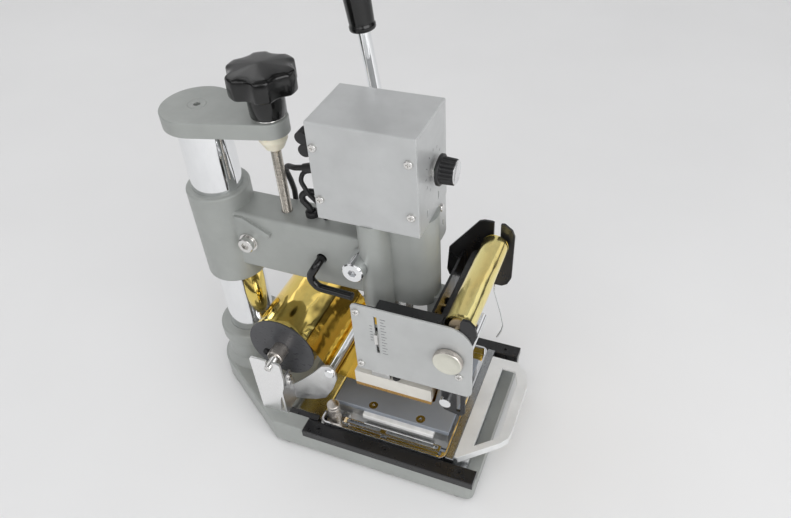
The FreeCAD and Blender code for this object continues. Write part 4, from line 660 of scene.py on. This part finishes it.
def make_takeup():
    shell = Shell()
    axis = Axis((213.7, 0, 168.5), (0, 1, 0), (0, 0, 1))
    skin = wound_radius(10.8, 45.9, 0.28, 9.0)
    shell.turned(axis, [(y, skin) for y in spread(-45.9, 45.9, 80)], "gold_pale", 120, caps=(False, False))
    for side in (-1, 1):
        wound_end(shell, axis, side * 45.85, 7.0, 10.3, "gold_pale", 6)
        shell.turned(axis, [(side * 46.9, 2.55), (side * 46.9, 6.9), (side * 45.8, 6.9)], "core", 48,
                     caps=(False, False))
        shell.turned(axis, [(side * 46.8, 2.5), (side * 51.0, 2.5), (side * 51.2, 2.2)], "zinc", 32,
                     caps=(False, True))
    shell.turned(axis, [(51.0, 2.5), (53.6, 2.5), (53.9, 2.1)], "zinc", 32)
    shell.build("takeup_roll_wound", "takeup", ["takeup_roll"], sharp=50)


def web_rows(path, half, ripple, count=61, seed=0.0):
    """Rows of points across the foil along a path, lifted by small creases that run along the pull."""
    rows = []
    for i, p in enumerate(path):
        ahead = path[min(i + 1, len(path) - 1)] - path[max(i - 1, 0)]
        up = Vector((-ahead.z, 0, ahead.x)).normalized()
        fade = min(1.0, i / 4, (len(path) - 1 - i) / 4)
        row = []
        for y in spread(-half, half, count):
            crease = noise.noise(Vector((p.x * 0.03 + seed, y * 0.16, p.z * 0.03)))
            wave = noise.noise(Vector((p.x * 0.05 + seed, y * 0.04, p.z * 0.05 + 5)))
            row.append(Vector((p.x, y, p.z)) + up * ripple * fade * (crease * 0.55 + wave))
        rows.append(row)
    return rows


def web_piece(name, body, path, ripple, seed, replaced=(), ride=True):
    """A thin double-sided web along a path in the XZ plane."""
    shell = Shell()
    shell.grid(web_rows(path, WEB_HALF, ripple, seed=seed), "gold", wrap=False)
    return shell.build(name, body, replaced, sharp=180, ride=ride)


def arc(cx, cz, r, start, end, count=10):
    """Points on a circle in the XZ plane, angles in degrees from +X towards +Z."""
    return [Vector((cx + r * math.cos(math.radians(a)), 0, cz + r * math.sin(math.radians(a))))
            for a in spread(start, end, count)]


def line(a, b, count):
    """Points from one (x, z) to another."""
    return [Vector((a[0] + (b[0] - a[0]) * t, 0, a[1] + (b[1] - a[1]) * t)) for t in spread(0, 1, count)]


def crossed_tangent(x0, z0, r0, x1, z1, r1):
    """Ends and angle of the line that leaves the top of circle 0 and runs under circle 1."""
    span = math.hypot(x1 - x0, z1 - z0)
    a = math.atan2(z1 - z0, x1 - x0) + math.acos((r0 + r1) / span)
    c, s = math.cos(a), math.sin(a)
    return (x0 + r0 * c, z0 + r0 * s), (x1 - r1 * c, z1 - r1 * s), math.degrees(a)


def make_webs():
    """Foil from the roll, under the guide rod and the head, and up to the feed rollers."""
    start, end, angle = crossed_tangent(SPOOL[0], SPOOL[2], SPOOL_FOIL_R, GUIDE_X, GUIDE_Z, GUIDE_R)
    rear = line(start, end, 26) + arc(GUIDE_X, GUIDE_Z, GUIDE_R, angle - 180, -94, 8)[1:]
    web_piece("foil_web_from_roll", "base", rear, 0.5, 1.0, ["foil_web_rear"])
    last = rear[-1]
    path = line((last.x, last.z), ARM_WEB_END, 8)
    web = web_piece("foil_web_to_arm", "base", path, 0.0, 2.0, ride=False)
    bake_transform(web)
    path = line(ARM_WEB_END, (HEAD_REAR_X, WEB_Z), 12)
    web = web_piece("foil_web_to_head", "arm", path, 0.0, 3.0, ride=False)
    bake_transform(web)
    path = line((HEAD_REAR_X, WEB_Z), (HEAD_FRONT_X, WEB_Z), 30)
    web_piece("foil_web_under_head", "head", path, 0.0, 4.0, ["foil_web_head"])
    front = [Vector((HEAD_FRONT_X, 0, WEB_Z)), Vector((192.2, 0, 69.9)), Vector((192.8, 0, 71.4))]
    front += line((193.2, 73.5), (205.2, 139.8), 40)
    web = web_piece("foil_web_to_rollers", "head", front, 0.35, 5.0, ["foil_web_front"], ride=False)
    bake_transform(web)


# ---- springs and printed marks ----
def make_springs():
    """Return springs, built as fixed coils; the real ones shorten as the head goes down."""
    shell = Shell()
    turns, low, length, coil_r, steps = 3.55, 197.0, 21.6, 6.1, 144
    for side in (-1, 1):
        points = []
        for k in range(steps + 1):
            angle = TURN * turns * k / steps
            height = low + length * k / steps
            x, y = 144 + coil_r * math.cos(angle), side * 17 + coil_r * math.sin(angle)
            points.append(Vector((x, y, height)))
        shell.tube(points, 0.6, "steel", 8)
    springs = shell.build("return_springs_coiled", "arm", ["return_springs"], sharp=60)
    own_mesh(springs)


def make_scale():
    """Generic printed scale beside the slot of the front plate: ticks only."""
    shell = Shell()
    y = -53.03
    ticks = []
    for i in range(13):
        z = 127.5 + 3.0 * i
        ticks.append((157.0, 159.8 if i % 2 else 161.2, z))
        if 3 < i < 10:
            ticks.append((148.2, 150.2, z))
    for x0, x1, z in ticks:
        low, high = y - 0.04, y + 0.02
        near = [Vector((x0, low, z - 0.22)), Vector((x1, low, z - 0.22)), Vector((x1, low, z + 0.22)),
                Vector((x0, low, z + 0.22))]
        far = [Vector((p.x, high, p.z)) for p in near]
        shell.grid([near, far], "ink", caps=(True, True))
    shell.build("length_scale_ticks", "arm")


def make_dial_marks():
    """Generic printed ticks round the temperature knob, one per 30 degrees."""
    shell = Shell()
    for i in range(11):
        angle = math.radians(-60 + 30 * i)
        out = Vector((0, math.cos(angle), math.sin(angle)))
        across = Vector((0, -out.z, out.y))
        middle = Vector((180.32, 2, 261.5))
        near = [middle + out * 13.4 - across * 0.3, middle + out * 15.6 - across * 0.3,
                middle + out * 15.6 + across * 0.3, middle + out * 13.4 + across * 0.3]
        far = [p - Vector((0.05, 0, 0)) for p in near]
        shell.grid([near, far], "ink", caps=(True, True))
    shell.build("temp_dial_ticks", "arm")


make_star_knob()
make_height_screw()
make_grip()
make_feed_knob()
make_temp_knob()
make_thumbscrew()
make_spool_shaft()
make_foil_roll()
make_takeup()
make_webs()
make_springs()
make_scale()
make_dial_marks()


# ---- stage, lights and camera ----
def make_floor():
    """A pale sweep: flat under the machine, curving up far behind it."""
    rows = [(-3.0, 0.0), (1.2, 0.0)]
    for i in range(1, 13):
        a = math.radians(90 * i / 12)
        rows.append((1.2 + 1.0 * math.sin(a), 1.0 - 1.0 * math.cos(a)))
    rows.append((2.2, 4.0))
    turn = Matrix.Rotation(math.radians(24.7), 3, "Z")
    verts, faces = [], []
    for y, z in rows:
        for x in (-4.0, 4.0):
            verts.append(turn @ Vector((x, y, z)))
    for i in range(len(rows) - 1):
        faces.append((2 * i, 2 * i + 1, 2 * i + 3, 2 * i + 2))
    mesh = bpy.data.meshes.new("floor")
    mesh.from_pydata([tuple(v) for v in verts], [], faces)
    for face in mesh.polygons:
        face.use_smooth = True
    floor = bpy.data.objects.new("floor", mesh)
    bpy.context.scene.collection.objects.link(floor)
    r = Recipe("paper_floor")
    tone = r.mix(r.ramp(r.noise(320, 3), (0.3, 0.0), (0.7, 1.0)), (0.80, 0.80, 0.80), (0.83, 0.83, 0.83))
    r.bump(r.noise(1.4, 4), 0.01, 0.3)
    r.set(Base_Color=tone, Roughness=0.6)
    mesh.materials.append(r.done())


def area_light(name, at, toward, size, power):
    data = bpy.data.lights.new(name, "AREA")
    data.shape = "RECTANGLE"
    data.size, data.size_y = size
    data.energy = power
    lamp = bpy.data.objects.new(name, data)
    lamp.location = at
    lamp.rotation_euler = (Vector(toward) - Vector(at)).to_track_quat("-Z", "Y").to_euler()
    bpy.context.scene.collection.objects.link(lamp)


WORLD_STRENGTH = 0.93


def make_world():
    """A soft studio: brighter from above, with dark flags that only mirror-like surfaces see."""
    world = bpy.data.worlds.new("studio")
    world.use_nodes = True
    tree = world.node_tree
    back = tree.nodes["Background"]
    coord = tree.nodes.new("ShaderNodeTexCoord")
    split = tree.nodes.new("ShaderNodeSeparateXYZ")
    ramp = tree.nodes.new("ShaderNodeValToRGB")
    tree.links.new(coord.outputs["Generated"], split.inputs[0])
    scale = tree.nodes.new("ShaderNodeMapRange")
    scale.inputs["From Min"].default_value = -1
    tree.links.new(split.outputs["Z"], scale.inputs["Value"])
    tree.links.new(scale.outputs["Result"], ramp.inputs["Fac"])
    stops = [(0.0, 0.30), (0.50, 0.40), (0.62, 0.75), (0.80, 0.90), (1.0, 0.62)]
    while len(ramp.color_ramp.elements) < len(stops):
        ramp.color_ramp.elements.new(0.5)
    for element, (where, level) in zip(ramp.color_ramp.elements, stops):
        element.position = where
        element.color = (level, level, level * 1.01, 1)
    tree.links.new(ramp.outputs["Color"], back.inputs["Color"])
    flags = tree.nodes.new("ShaderNodeTexNoise")
    flags.inputs["Scale"].default_value = 1.7
    flags.inputs["Detail"].default_value = 0.5
    tree.links.new(coord.outputs["Generated"], flags.inputs["Vector"])
    depth = tree.nodes.new("ShaderNodeMapRange")
    for field, value in (("From Min", 0.44), ("From Max", 0.56), ("To Min", -0.86), ("To Max", 0.12)):
        depth.inputs[field].default_value = value
    tree.links.new(flags.outputs["Fac"], depth.inputs["Value"])
    path = tree.nodes.new("ShaderNodeLightPath")
    share = tree.nodes.new("ShaderNodeMath")
    share.operation = "MULTIPLY_ADD"
    tree.links.new(path.outputs["Is Glossy Ray"], share.inputs[0])
    tree.links.new(depth.outputs["Result"], share.inputs[1])
    share.inputs[2].default_value = 1.0
    level = tree.nodes.new("ShaderNodeMath")
    level.operation = "MULTIPLY"
    tree.links.new(share.outputs["Value"], level.inputs[0])
    level.inputs[1].default_value = WORLD_STRENGTH
    tree.links.new(level.outputs["Value"], back.inputs["Strength"])
    bpy.context.scene.world = world


def make_camera():
    """The viewpoint solved for the reference view: 708.5 px focal length over a 791 px width."""
    azimuth, elevation, roll = math.radians(24.72), math.radians(40.9), math.radians(-4.24)
    back = Vector((math.sin(azimuth) * math.cos(elevation), -math.cos(azimuth) * math.cos(elevation),
                   math.sin(elevation)))
    right = (-back).cross(Vector((0, 0, 1))).normalized()
    up = back.cross(right)
    x_axis = right * math.cos(roll) + up * math.sin(roll)
    y_axis = up * math.cos(roll) - right * math.sin(roll)
    data = bpy.data.cameras.new("camera")
    data.sensor_width = 36.0
    data.lens = 708.5 / 791.0 * 36.0
    data.clip_start = 0.01
    camera = bpy.data.objects.new("camera", data)
    matrix = Matrix((x_axis, y_axis, back)).transposed().to_4x4()
    matrix.translation = Vector((0.31808, -0.36823, 0.52582))
    camera.matrix_world = matrix
    bpy.context.scene.collection.objects.link(camera)
    bpy.context.scene.camera = camera


make_floor()
make_world()
area_light("key", (-0.9, 0.5, 1.5), (0.1, 0, 0.1), (1.2, 1.2), 3)
area_light("fill", (1.4, -0.7, 0.9), (0.1, 0, 0.1), (1.4, 1.0), 10)
area_light("front", (-0.1, -1.6, 0.8), (0.1, 0, 0.12), (1.6, 0.9), 5)
area_light("top", (0.1, -0.1, 1.9), (0.1, 0, 0), (1.6, 1.2), 1)
make_camera()
bpy.context.scene.view_settings.view_transform = "Standard"
